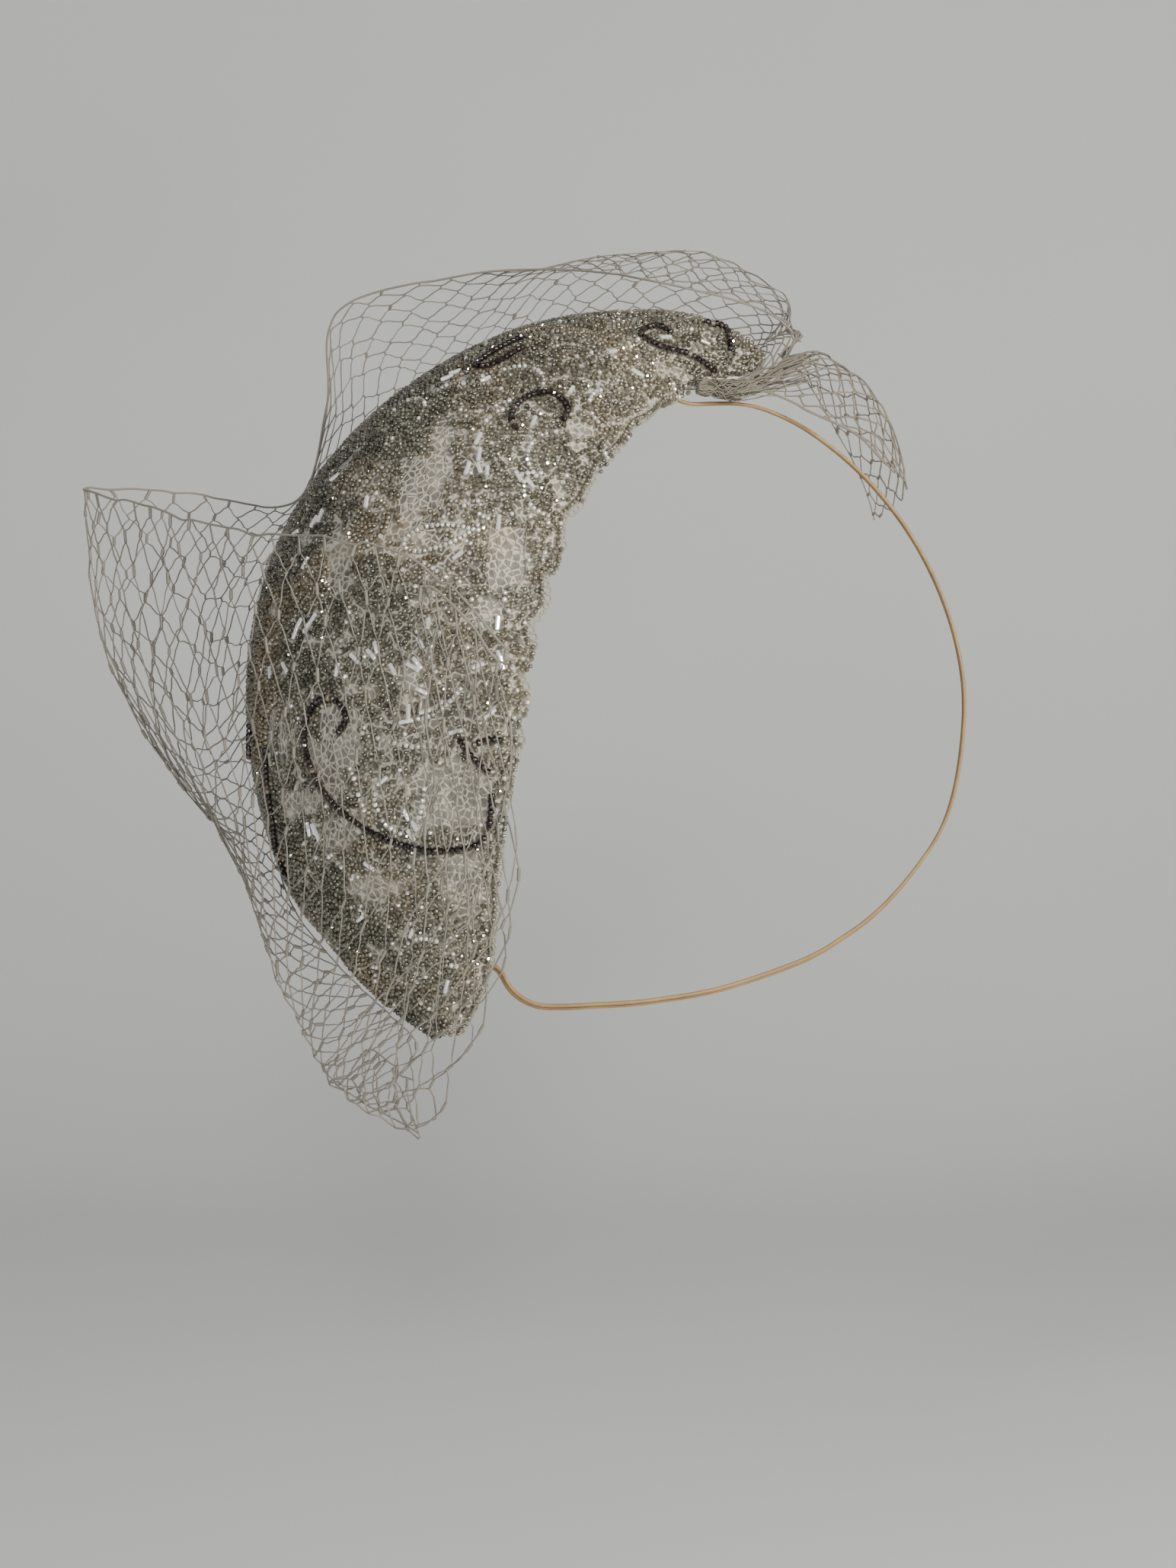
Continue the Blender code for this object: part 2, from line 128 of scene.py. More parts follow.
# The dark strings as they show: level and upward millimetres in the head's middle plane.
DARK_STRINGS = {
    "bead_scroll_large": (
        (-88, -8), (-86, -3.5), (-89.5, 1.5), (-94.5, 0.5), (-97.5, -6), (-97, -14), (-94, -22), (-88, -30),
        (-78, -37), (-65, -41.5), (-53, -41), (-47.5, -37), (-46, -26),
    ),
    "bead_string_front_upper": ((-113, -6), (-113, -14.5), (-112, -22)),
    "bead_string_front_lower": ((-108.5, -13), (-108, -23), (-106.5, -33), (-105.5, -41), (-103, -48)),
    "bead_curl_rear": ((-55, -9), (-52.5, -13.5), (-47, -19)),
    "bead_curl_rear_end": ((-50.5, -11.5), (-47, -10), (-43.5, -10)),
    "bead_arch": ((-38.5, 79), (-39.5, 82.5), (-36, 87), (-28.5, 89), (-24, 85), (-25, 81.5)),
    "bead_hook_top": ((5.5, 106.5), (2, 108.3), (-3, 106), (2.5, 102.8), (11, 101), (17.5, 97.5)),
    "bead_hook_tip": ((16.5, 109), (21.5, 107.5), (22.5, 102.5)),
    "bead_hook_edge": ((-36, 104.5), (-44, 100.5), (-49, 96.5), (-44, 97), (-36, 101.5)),
}


class Form(Enum):
    """The forms that the embroiderer repeats in seed beads."""

    FAN = "fan"
    LOOP = "loop"
    LEAF = "leaf"
    ROSETTE = "rosette"


# Motifs as they show: form, photo x and y in pixels, radius in mm, width to height, turn, rows.
MOTIFS = (
    (Form.LOOP, 490, 692, 7.2, 0.85, 0, 2), (Form.LEAF, 578, 708, 9.5, 0.45, 12, 1),
    (Form.LEAF, 562, 765, 9, 0.55, -25, 2), (Form.FAN, 478, 748, 5, 1, 200, 4),
    (Form.ROSETTE, 415, 778, 6.5, 1, 0, 3), (Form.FAN, 715, 600, 9, 1, 150, 6),
    (Form.FAN, 706, 650, 8, 1, 190, 5), (Form.FAN, 785, 540, 7, 1, 160, 5),
    (Form.LEAF, 500, 635, 6, 0.5, 60, 1), (Form.FAN, 545, 545, 8, 1, 60, 5),
    (Form.FAN, 500, 590, 8, 1, 40, 5), (Form.ROSETTE, 635, 530, 7, 1, 0, 4),
    (Form.FAN, 600, 520, 6, 1, 80, 4), (Form.LOOP, 470, 640, 4.5, 0.6, 10, 1),
    (Form.ROSETTE, 610, 690, 6, 1, 0, 2), (Form.FAN, 410, 870, 8, 1, 100, 4),
    (Form.FAN, 510, 905, 8.5, 1, 20, 4), (Form.ROSETTE, 520, 840, 7, 1, 0, 3),
    (Form.FAN, 590, 850, 8, 1, 150, 4), (Form.LEAF, 575, 915, 9, 0.5, 30, 2),
    (Form.FAN, 640, 930, 7, 1, 190, 3), (Form.LEAF, 380, 965, 9.5, 0.5, 86, 1),
    (Form.FAN, 520, 1062, 6.5, 1, 120, 4), (Form.FAN, 470, 1130, 7, 1, 250, 3),
    (Form.ROSETTE, 560, 1185, 6, 1, 0, 3), (Form.FAN, 500, 1215, 8, 1, 60, 5),
    (Form.FAN, 560, 1245, 8, 1, 100, 5), (Form.ROSETTE, 520, 1290, 6, 1, 0, 4),
    (Form.FAN, 455, 1245, 6, 1, 40, 4), (Form.ROSETTE, 835, 470, 5, 1, 0, 3),
    (Form.FAN, 900, 450, 5.5, 1, 120, 4), (Form.FAN, 745, 470, 7, 1, 100, 5),
    (Form.FAN, 690, 500, 7, 1, 60, 4), (Form.LEAF, 425, 1110, 6, 0.5, 60, 1),
    (Form.LOOP, 400, 930, 4, 0.7, 0, 1),
)
# Strings of bright seed beads, as photo pixels.
BRIGHT_STRINGS = (
    ((378, 918), (364, 930), (360, 950), (360, 985), (361, 1010)),
    ((490, 966), (493, 985), (492, 1010), (490, 1035), (491, 1055), (489, 1072)),
    ((466, 1008), (473, 1025), (478, 1045), (485, 1062), (492, 1074)),
    ((500, 1034), (497, 1050), (504, 1066), (513, 1082), (530, 1092)),
    ((643, 1040), (646, 1060), (645, 1080), (640, 1095)), ((455, 843), (454, 865), (457, 882), (464, 895)),
    ((401, 858), (400, 880), (398, 902), (405, 915)), ((560, 1034), (556, 1060), (548, 1085)),
    ((604, 738), (596, 752), (580, 768), (560, 784)), ((505, 730), (507, 745), (504, 760)),
    ((640, 560), (655, 548), (675, 545)), ((620, 790), (640, 780), (662, 790), (668, 812)),
    ((660, 850), (672, 870), (668, 900)), ((560, 1120), (590, 1118), (618, 1110), (634, 1098)),
)
# The string of beads with a rainbow coating, as photo pixels.
AURORA_MARKS = ((482, 962), (500, 968), (522, 975), (545, 980), (570, 979), (596, 984), (612, 975))
# Bugles as they show, glinting: photo x and y in pixels, turn in degrees from level. They are painted near
# white as highlights.
BUGLES = (
    (630, 583, 75), (631, 603, 88), (631, 621, -70), (641, 624, 90), (616, 621, 80), (680, 631, -65),
    (695, 640, -60), (448, 633, 30), (429, 683, -85), (421, 690, 75), (398, 704, 15), (410, 743, 70),
    (402, 820, 55), (397, 833, 70), (419, 815, 55), (412, 826, 55), (565, 821, 90), (653, 820, 85),
    (603, 733, 40), (488, 665, -75), (555, 846, -60), (602, 498, 25), (592, 505, 30), (640, 507, 40),
    (557, 908, -25), (628, 875, 20), (655, 862, -65), (658, 872, -80), (551, 872, -50), (546, 877, -30),
    (493, 861, -45), (472, 866, -40), (499, 852, -70), (365, 884, -75), (384, 878, -45), (540, 934, 90),
    (537, 947, 10), (561, 934, 15), (642, 937, 40), (507, 1024, 35), (421, 1086, -75), (425, 1094, -70),
    (414, 1086, -85), (491, 1134, -35), (537, 1068, -65), (547, 1082, -60), (543, 1094, -60),
    (700, 560, 70), (748, 520, 60), (800, 470, 20), (830, 495, -30), (870, 450, 10), (655, 690, 85),
    (450, 880, 80), (520, 880, -60), (600, 960, 15), (480, 1200, 30), (545, 1220, 60), (590, 1290, 70),
)
# Which mesh of seed beads a place belongs to: those above each level, and the rest in the lower one.
SEED_LEVELS = (("top", 68), ("upper", 20), ("middle", -32))
# Dark rows of beads along the front edge, as shares of the shell's width, and round the edge's
# thickness, as lift in millimetres and share of the width.
FRONT_ROWS = (1.0, 0.983, 0.965, 0.947)
RIM_ROWS = ((-2.9, 1.011), (-1.6, 1.015), (-0.2, 1.017), (1.2, 1.014))
# Bare patches of ground cloth, as photo pixels: x, y, half width, half height, turn.
CLOTH_PATCHES = (
    (562, 640, 26, 82, 28), (452, 742, 20, 50, -8), (447, 985, 30, 62, 8), (590, 1040, 58, 50, 0),
    (612, 1160, 34, 45, 0), (400, 1056, 24, 22, 0), (664, 735, 26, 62, 5), (868, 492, 34, 9, 12),
    (455, 1090, 30, 20, -30), (500, 880, 12, 30, 0), (566, 705, 22, 18, 0), (380, 965, 16, 40, 0),
    (420, 990, 10, 20, 0), (640, 805, 26, 22, 0), (500, 1165, 30, 22, 0), (760, 570, 20, 14, 20),
)
# Lights: name, place and size in metres, watts, colour. Small ones make the beads glint.
LIGHTS = (
    ("key_light", (1.2, -1.0, 0.45), 0.2, 30.0, "#fffaf2"),
    ("glint_light", (0.1, -1.5, 0.3), 0.15, 10.0, "#ffffff"),
    ("low_glint_light", (0.5, -1.4, -0.25), 0.12, 5.0, "#fff6e8"),
    ("side_glint_light", (-0.6, -1.4, 0.4), 0.12, 5.0, "#f2f6ff"),
    ("fill_light", (-1.4, -1.6, 0.5), 1.6, 2.0, "#eef3ff"),
    ("top_light", (0.2, 0.2, 1.9), 1.2, 3.0, "#ffffff"),
)


def linear(hex_colour: str) -> tuple[float, float, float, float]:
    """Turns an sRGB hex colour to linear red, green and blue, with an alpha of one."""
    parts = [int(hex_colour[k:k + 2], 16) / 255 for k in (1, 3, 5)]
    return (*[p / 12.92 if p <= 0.04045 else ((p + 0.055) / 1.055) ** 2.4 for p in parts], 1.0)


def add_node(tree: bpy.types.NodeTree, kind: str, inputs: dict | None = None, **settings) -> bpy.types.Node:
    """Adds a node with its settings, values and links.

    Args:
        tree: The node tree.
        kind: The node's type name.
        inputs: Input names or numbers, each with a value or an output to link.
        **settings: The node's own properties.

    Returns:
        The node.
    """
    node = tree.nodes.new(kind)
    for key, value in settings.items():
        setattr(node, key, value)
    for key, value in (inputs or {}).items():
        if isinstance(value, Socket):
            tree.links.new(value, node.inputs[key])
        else:
            node.inputs[key].default_value = value
    return node


class Look:
    """A material while it is made: its nodes, its shader's inputs, and places in the piece's metres."""

    def __init__(self, finish: "Finish") -> None:
        """Starts the material with the finish's constant values.

        Args:
            finish: The finish to make.
        """
        self.material = bpy.data.materials.new(finish.name)
        self.material.use_nodes = True
        self.tree = self.material.node_tree
        self.shader = self.tree.nodes["Principled BSDF"].inputs
        self.settle({"Roughness": finish.roughness, "Metallic": finish.metallic, "IOR": finish.ior})
        self.place = add_node(self.tree, "ShaderNodeTexCoord").outputs["Object"]

    def settle(self, values: dict[str, float]) -> None:
        """Sets inputs of the shader."""
        for name, value in values.items():
            self.shader[name].default_value = value

    def noise(self, size_mm: float, detail: float = 2.0, rough: float = 0.5) -> Socket:
        """Soft noise, in blotches of a size."""
        values = {"Vector": self.place, "Scale": 1 / (size_mm * MM), "Detail": detail, "Roughness": rough}
        return add_node(self.tree, "ShaderNodeTexNoise", values).outputs["Fac"]

    def wave(self, band_mm: float, way: str, inputs: dict | None = None) -> Socket:
        """Even bands that run one way."""
        values = {"Vector": self.place, "Scale": WAVE_BAND / (band_mm * MM), **(inputs or {})}
        return add_node(self.tree, "ShaderNodeTexWave", values, bands_direction=way).outputs["Fac"]

    def spread(self, value: Socket, low: float, high: float, start: float = 0.0, end: float = 1.0) -> Socket:
        """Spreads what a value has between low and high over the range from start to end."""
        values = {"Value": value, "From Min": low, "From Max": high, "To Min": start, "To Max": end}
        return add_node(self.tree, "ShaderNodeMapRange", values).outputs["Result"]

    def blend(self, share: Socket, first: str | Socket, second: str | Socket) -> Socket:
        """Mixes two colours.

        Args:
            share: The second one's share.
            first: A hex colour or an output.
            second: The same.

        Returns:
            The mixed colour.
        """
        pair = [linear(colour) if isinstance(colour, str) else colour for colour in (first, second)]
        mix = add_node(self.tree, "ShaderNodeMix", {0: share, 6: pair[0], 7: pair[1]}, data_type="RGBA")
        return mix.outputs[2]

    def cover(self, colour: Socket) -> None:
        """Gives the shader its colour."""
        self.tree.links.new(colour, self.shader["Base Color"])

    def relief(self, height: Socket, strength: float, depth_mm: float) -> None:
        """Raises the surface where a value is high.

        Args:
            height: The value.
            strength: How much of the relief shows.
            depth_mm: How high it stands.
        """
        values = {"Height": height, "Strength": strength, "Distance": depth_mm * MM}
        bump = add_node(self.tree, "ShaderNodeBump", values)
        self.tree.links.new(bump.outputs["Normal"], self.shader["Normal"])


@dataclass(frozen=True)
class Finish:
    """A real material's look: its name, colours as sRGB hex, how it shines, and its blotches."""

    name: str
    colour: str
    shade: str
    roughness: float
    metallic: float = 0.0
    ior: float = 1.5
    blotch_mm: float = 9.0

    def material(self) -> bpy.types.Material:
        """Makes the material.

        Returns:
            The material.
        """
        look = Look(self)
        self.paint(look)
        return look.material

    def paint(self, look: Look) -> None:
        """Gives the look its colours and relief: here, soft changes between two tones."""
        look.cover(look.blend(look.noise(self.blotch_mm), self.colour, self.shade))


@dataclass(frozen=True)
class ThreadFinish(Finish):
    """Spun thread: matte, with soft changes of tone along it."""

    twist_mm: float = 0.5
    relief_mm: float = 0.1

    def paint(self, look: Look) -> None:
        """Adds the twist of the thread to the changes of tone.

        Args:
            look: The material while it is made.
        """
        super().paint(look)
        look.relief(look.wave(self.twist_mm, "DIAGONAL"), 0.4, self.relief_mm)
        look.settle({"Sheen Weight": 0.15})


@dataclass(frozen=True)
class ClothFinish(Finish):
    """Woven cloth: a plain weave, drawn as coarse as it needs to be to show, with worn blotches."""

    blotch_mm: float = 14.0
    weave_mm: float = 0.7
    relief_mm: float = 0.15

    def paint(self, look: Look) -> None:
        """Draws the weave as two crossing sets of bands, and the worn blotches.

        Args:
            look: The material while it is made.
        """
        uneven = {"Distortion": 1.5, "Detail": 1.0, "Detail Scale": 2.0}
        rows = {number: look.wave(self.weave_mm, way, uneven) for number, way in enumerate("XZ")}
        weave = add_node(look.tree, "ShaderNodeMath", rows, operation="MAXIMUM")
        worn = look.spread(look.noise(self.blotch_mm, 5.0, 0.6), 0.35, 0.65)
        look.cover(look.blend(worn, self.colour, self.shade))
        look.relief(weave.outputs["Value"], 0.7, self.relief_mm)
        look.settle({"Sheen Weight": 0.2})


@dataclass(frozen=True)
class LaceFinish(Finish):
    """Machine lace: a fine net ground under denser worked patches, tarnished here and there."""

    blotch_mm: float = 11.0
    thread: str = "#d5cdbb"
    stain: str = "#8b7350"
    mesh_mm: float = 2.1
    stain_mm: float = 19.0
    relief_mm: float = 0.2

    def paint(self, look: Look) -> None:
        """Draws the worked patches, the stains and the net's threads over them.

        Args:
            look: The material while it is made.
        """
        net = add_node(look.tree, "ShaderNodeTexVoronoi", {
            "Vector": look.place, "Scale": 1 / (self.mesh_mm * MM)}, feature="DISTANCE_TO_EDGE")
        edge = net.outputs["Distance"]
        worked = look.spread(look.noise(self.blotch_mm, 4.0, 0.65), 0.42, 0.58)
        stained = look.spread(look.noise(self.stain_mm, 3.0), 0.55, 0.75, end=0.6)
        aged = look.blend(stained, look.blend(worked, self.shade, self.colour), self.stain)
        look.cover(look.blend(look.spread(edge, 0.04, 0.16, 0.6, 0.0), aged, self.thread))
        look.relief(look.spread(edge, 0.04, 0.16, 1.0, 0.0), 0.8, self.relief_mm)
        look.settle({"Sheen Weight": 0.2})


@dataclass(frozen=True)
class BeadFinish(Finish):
    """Glass beads with a lining, each with its own tone, kept in the mesh's tone attribute; the tone also
    carries painted shade and painted highlights.
    """

    blotch_mm: float = 24.0
    bright: str = "#f1ece0"
    bright_from: float = 0.8
    bright_step: float = 0.08
    stain: str = "#a58b6b"
    stain_share: float = 0.35
    film_nm: float = 0.0

    def paint(self, look: Look) -> None:
        """Takes each bead from shade over colour to bright by its tone, and coats it with clear glass.

        Args:
            look: The material while it is made.
        """
        tone = add_node(look.tree, "ShaderNodeAttribute", attribute_name="tone").outputs["Fac"]
        ramp = add_node(look.tree, "ShaderNodeValToRGB", {"Fac": tone})
        stops = ramp.color_ramp.elements
        stops[0].color = linear(self.shade)
        stops[1].position, stops[1].color = self.bright_from, linear(self.colour)
        stops.new(min(self.bright_from + self.bright_step, 1.0)).color = linear(self.bright)
        stained = look.spread(look.noise(self.blotch_mm), 0.5, 0.7, end=self.stain_share)
        look.cover(look.blend(stained, ramp.outputs["Color"], self.stain))
        look.settle({"Coat Weight": 1.0, "Coat Roughness": 0.03, "Thin Film Thickness": self.film_nm})


# Plain-woven cotton stiffened with size and dried: it shows dry and matte, with soft grey blotches.
BUCKRAM = ClothFinish("white_buckram", "#e6e3db", "#d2cec3", 0.85)
# Machine-made lace: pale threads over a dull, faintly tanned ground, its grey set dark as painted shade
# between the beads.
LACE = LaceFinish("tarnished_lace", "#7b776c", "#504d46", 0.7)
# Beads cut from drawn glass and tumbled round, with silver in the hole: sharp glints on olive grey, from cut
# facets and from odd beads painted near white as highlights.
SEED_GLASS = BeadFinish("silver_lined_seed_beads", "#9c9684", "#4b483a", 0.10, 0.6, 1.52, bright="#fbf9f2")
# The same drawn glass cut long and left as cut: straight sides that flash white along their length, the
# listed bugles painted near white as highlights and the rest painted dark.
BUGLE_GLASS = BeadFinish("silver_lined_bugles", "#d9d6ca", "#7d7968", 0.06, 0.5, 1.52, bright="#fdfcf8",
                         bright_from=0.7, stain_share=0.0)
# Dark glass fired with a thin metal skin: nearly black, with a few beads painted lighter as small warm
# highlights.
DARK_GLASS = BeadFinish("dark_bronze_beads", "#3f312a", "#130d0b", 0.12, 0.6, 1.52, bright="#8a7d72",
                        bright_from=0.9, stain_share=0.0)
# Glass coated in metal vapour: the film turns the highlights to pale rainbow colours.
AURORA_GLASS = BeadFinish("aurora_coated_beads", "#cfc8bb", "#a5a09a", 0.06, 0.3, 1.52, film_nm=430.0)
# Spun and knotted thread, cream: matte, its colour set grey as painted shade, the way the thread looks
# against the wall.
NET_THREAD = ThreadFinish("cream_net_thread", "#878175", "#5f5b53", 0.7)
# The same thread where hands have tanned it: a little browner.
TAIL_THREAD = ThreadFinish("tan_net_thread", "#837c6b", "#5d574c", 0.7)
# Rubber wound closely with glossy thread: a satin gold line with a fine twist.
ELASTIC_THREAD = ThreadFinish("gold_covered_elastic", "#a08250", "#6e5330", 0.45, twist_mm=0.8)
# Thicker spun thread laid round the lace's forms: matte, and paler than the ground.
LACE_CORD = ThreadFinish("lace_outline_cord", "#a19c8d", "#7d7869", 0.8)
# Emulsion put on with a roller: flat, and barely uneven.
WALL_PAINT = Finish("pale_grey_wall_paint", "#e4e6e4", "#dcdedc", 0.9, blotch_mm=1000 / 3)


def curve_between(before: np.ndarray, start: np.ndarray, end: np.ndarray, after: np.ndarray,
                  part: np.ndarray) -> np.ndarray:
    """Points on smooth curves through four neighbours each.

    Args:
        before: The neighbours before the starts.
        start: Where part is 0.
        end: Where part is 1.
        after: The neighbours after the ends.
        part: From 0 to 1.

    Returns:
        The points.
    """
    return 0.5 * (2 * start + (end - before) * part + (2 * before - 5 * start + 4 * end - after) * part**2
                  + (3 * start - before - 3 * end + after) * part**3)


def smooth_rows(table: np.ndarray, at: np.ndarray) -> np.ndarray:
    """Rows of a table at fractional row numbers, on smooth curves through its rows.

    Args:
        table: The rows.
        at: The fractional row numbers.

    Returns:
        One row for each number.
    """
    last = len(table) - 1
    at = np.clip(np.atleast_1d(at).astype(float), 0, last)
    row = np.minimum(at.astype(int), last - 1)
    part = (at - row).reshape(-1, *[1] * (table.ndim - 1))
    return curve_between(table[np.maximum(row - 1, 0)], table[row], table[row + 1],
                         table[np.minimum(row + 2, last)], part)


def smooth_route(route: Iterable, steps: int) -> np.ndarray:
    """A route's points with that many for each of its own, on a smooth curve."""
    return smooth_rows(np.array(route, float), np.linspace(0, len(route) - 1, steps * len(route)))


def reach_along(points: np.ndarray) -> np.ndarray:
    """How far along its line each point is."""
    return np.concatenate(([0.0], np.cumsum(np.linalg.norm(np.diff(points, axis=0), axis=1))))


def even_line(points: np.ndarray, step: float, smooth: bool = True) -> np.ndarray:
    """Points a step apart along a line.

    Args:
        points: The line's own points.
        step: The distance to keep.
        smooth: Whether the line curves smoothly through its points.

    Returns:
        The points.
    """
    if smooth:
        points = smooth_route(points, 40)
    reach = reach_along(points)
    places = np.linspace(0.0, reach[-1], max(2, round(reach[-1] / step) + 1))
    return np.column_stack([np.interp(places, reach, points[:, k]) for k in range(3)])


def unit(rows: np.ndarray) -> np.ndarray:
    """Rows scaled to a length of one."""
    return rows / np.maximum(np.linalg.norm(rows, axis=-1, keepdims=True), 1e-9)


def square_to(rows: np.ndarray, axes: np.ndarray) -> np.ndarray:
    """Unit rows nearest to the given ones that are square to the axes."""
    return unit(rows - axes * np.sum(rows * axes, axis=-1, keepdims=True))


def runs_of(line: np.ndarray) -> np.ndarray:
    """A line's directions at its points."""
    return unit(np.gradient(line, axis=0))


def turned(flat: np.ndarray, turn: float) -> np.ndarray:
    """Flat points turned by an angle in radians."""
    return flat @ np.array(((math.cos(turn), math.sin(turn)), (-math.sin(turn), math.cos(turn))))


def to_row(points: np.ndarray) -> np.ndarray:
    """Head millimetres as metres in the row frame."""
    return (points - SEAT) * MM


def to_pixel(x: float, z: float) -> tuple[float, float]:
    """A point of the head's middle plane as a photo pixel."""
    return x * PIXELS_PER_MM + PHOTO_MIDDLE[0], PHOTO_MIDDLE[1] - z * PIXELS_PER_MM


def add_object(name: str, data: bpy.types.ID | None) -> bpy.types.Object:
    """Adds an object to the scene.

    Args:
        name: Its name.
        data: Its mesh, curve, lamp or lens.

    Returns:
        The object.
    """
    item = bpy.data.objects.new(name, data)
    bpy.context.scene.collection.objects.link(item)
    return item


def add_piece(name: str, data: bpy.types.Mesh | bpy.types.Curve, finish: bpy.types.Material,
              node: str = "") -> bpy.types.Object:
    """Adds a finished piece that rides on the hat.

    Args:
        name: The piece's name.
        data: Its mesh or curve.
        finish: Its material.
        node: The CAD node that it replaces, if any.

    Returns:
        The piece.
    """
    data.materials.clear()
    data.materials.append(finish)
    item = add_object(name, data)
    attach(item, "root")
    if node:
        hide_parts(node)
    LOG.info("%s: %s", name, f"{len(data.polygons)} faces" if isinstance(data, bpy.types.Mesh) else "a cord")
    return item


def tube_curve(name: str, lines: Iterable[np.ndarray], radius: float, sides: int) -> bpy.types.Curve:
    """A curve of round tubes along lines.

    Args:
        name: The curve's name.
        lines: The lines, in metres in the row frame.
        radius: The tubes' radius in millimetres.
        sides: The bevel's resolution.

    Returns:
        The curve.
    """
    curve = bpy.data.curves.new(name, "CURVE")
    curve.dimensions = "3D"
    curve.bevel_depth = radius * MM
    curve.bevel_resolution = sides
    curve.use_fill_caps = True
    for line in lines:
        spline = curve.splines.new("POLY")
        spline.points.add(len(line) - 1)
        spline.points.foreach_set("co", np.column_stack((line, np.ones(len(line)))).ravel())
        spline.use_smooth = True
    return curve


def tube_mesh(name: str, lines: Iterable[np.ndarray], radius: float, sides: int = 1) -> bpy.types.Mesh:
    """A mesh of round tubes along lines.

    Args:
        name: The mesh's name.
        lines: The lines, in head millimetres.
        radius: The tubes' radius in millimetres.
        sides: The bevel's resolution.

    Returns:
        The mesh.
    """
    holder = bpy.data.objects.new(name, tube_curve(name, map(to_row, lines), radius, sides))
    mesh = bpy.data.meshes.new_from_object(holder)
    bpy.data.objects.remove(holder, do_unlink=True)
    return smoothed(mesh)


def smoothed(mesh: bpy.types.Mesh) -> bpy.types.Mesh:
    """The mesh with all its faces shaded smoothly."""
    mesh.polygons.foreach_set("use_smooth", np.ones(len(mesh.polygons), bool))
    return mesh


def bent_sheet(name: str, cells: tuple[int, int], place: Callable, thickness: float) -> bpy.types.Mesh:
    """A closed skin: a grid bent to a surface, extruded, and its two faces set half a thickness away.

    Args:
        name: The mesh's name.
        cells: How many cells each way.
        place: Gives head millimetres for arrays of numbers from 0 to 1 and a lift.
        thickness: In millimetres.

    Returns:
        The mesh.
    """
    mesh = bmesh.new()
    bmesh.ops.create_grid(mesh, x_segments=cells[0], y_segments=cells[1], size=0.5)
    flat = np.array([corner.co for corner in mesh.verts]) + 0.5
    number = mesh.verts.layers.int.new("number")
    for index, corner in enumerate(mesh.verts):
        corner[number] = index
    made = bmesh.ops.extrude_face_region(mesh, geom=mesh.faces[:], use_keep_orig=True)["geom"]
    outer = {item for item in made if isinstance(item, bmesh.types.BMVert)}
    faces = [to_row(place(flat[:, 0], flat[:, 1], side * thickness / 2)) for side in (-1, 1)]
    for corner in mesh.verts:
        corner.co = faces[corner in outer][corner[number]]
    bmesh.ops.recalc_face_normals(mesh, faces=mesh.faces[:])
    data = bpy.data.meshes.new(name)
    mesh.to_mesh(data)
    mesh.free()
    return smoothed(data)


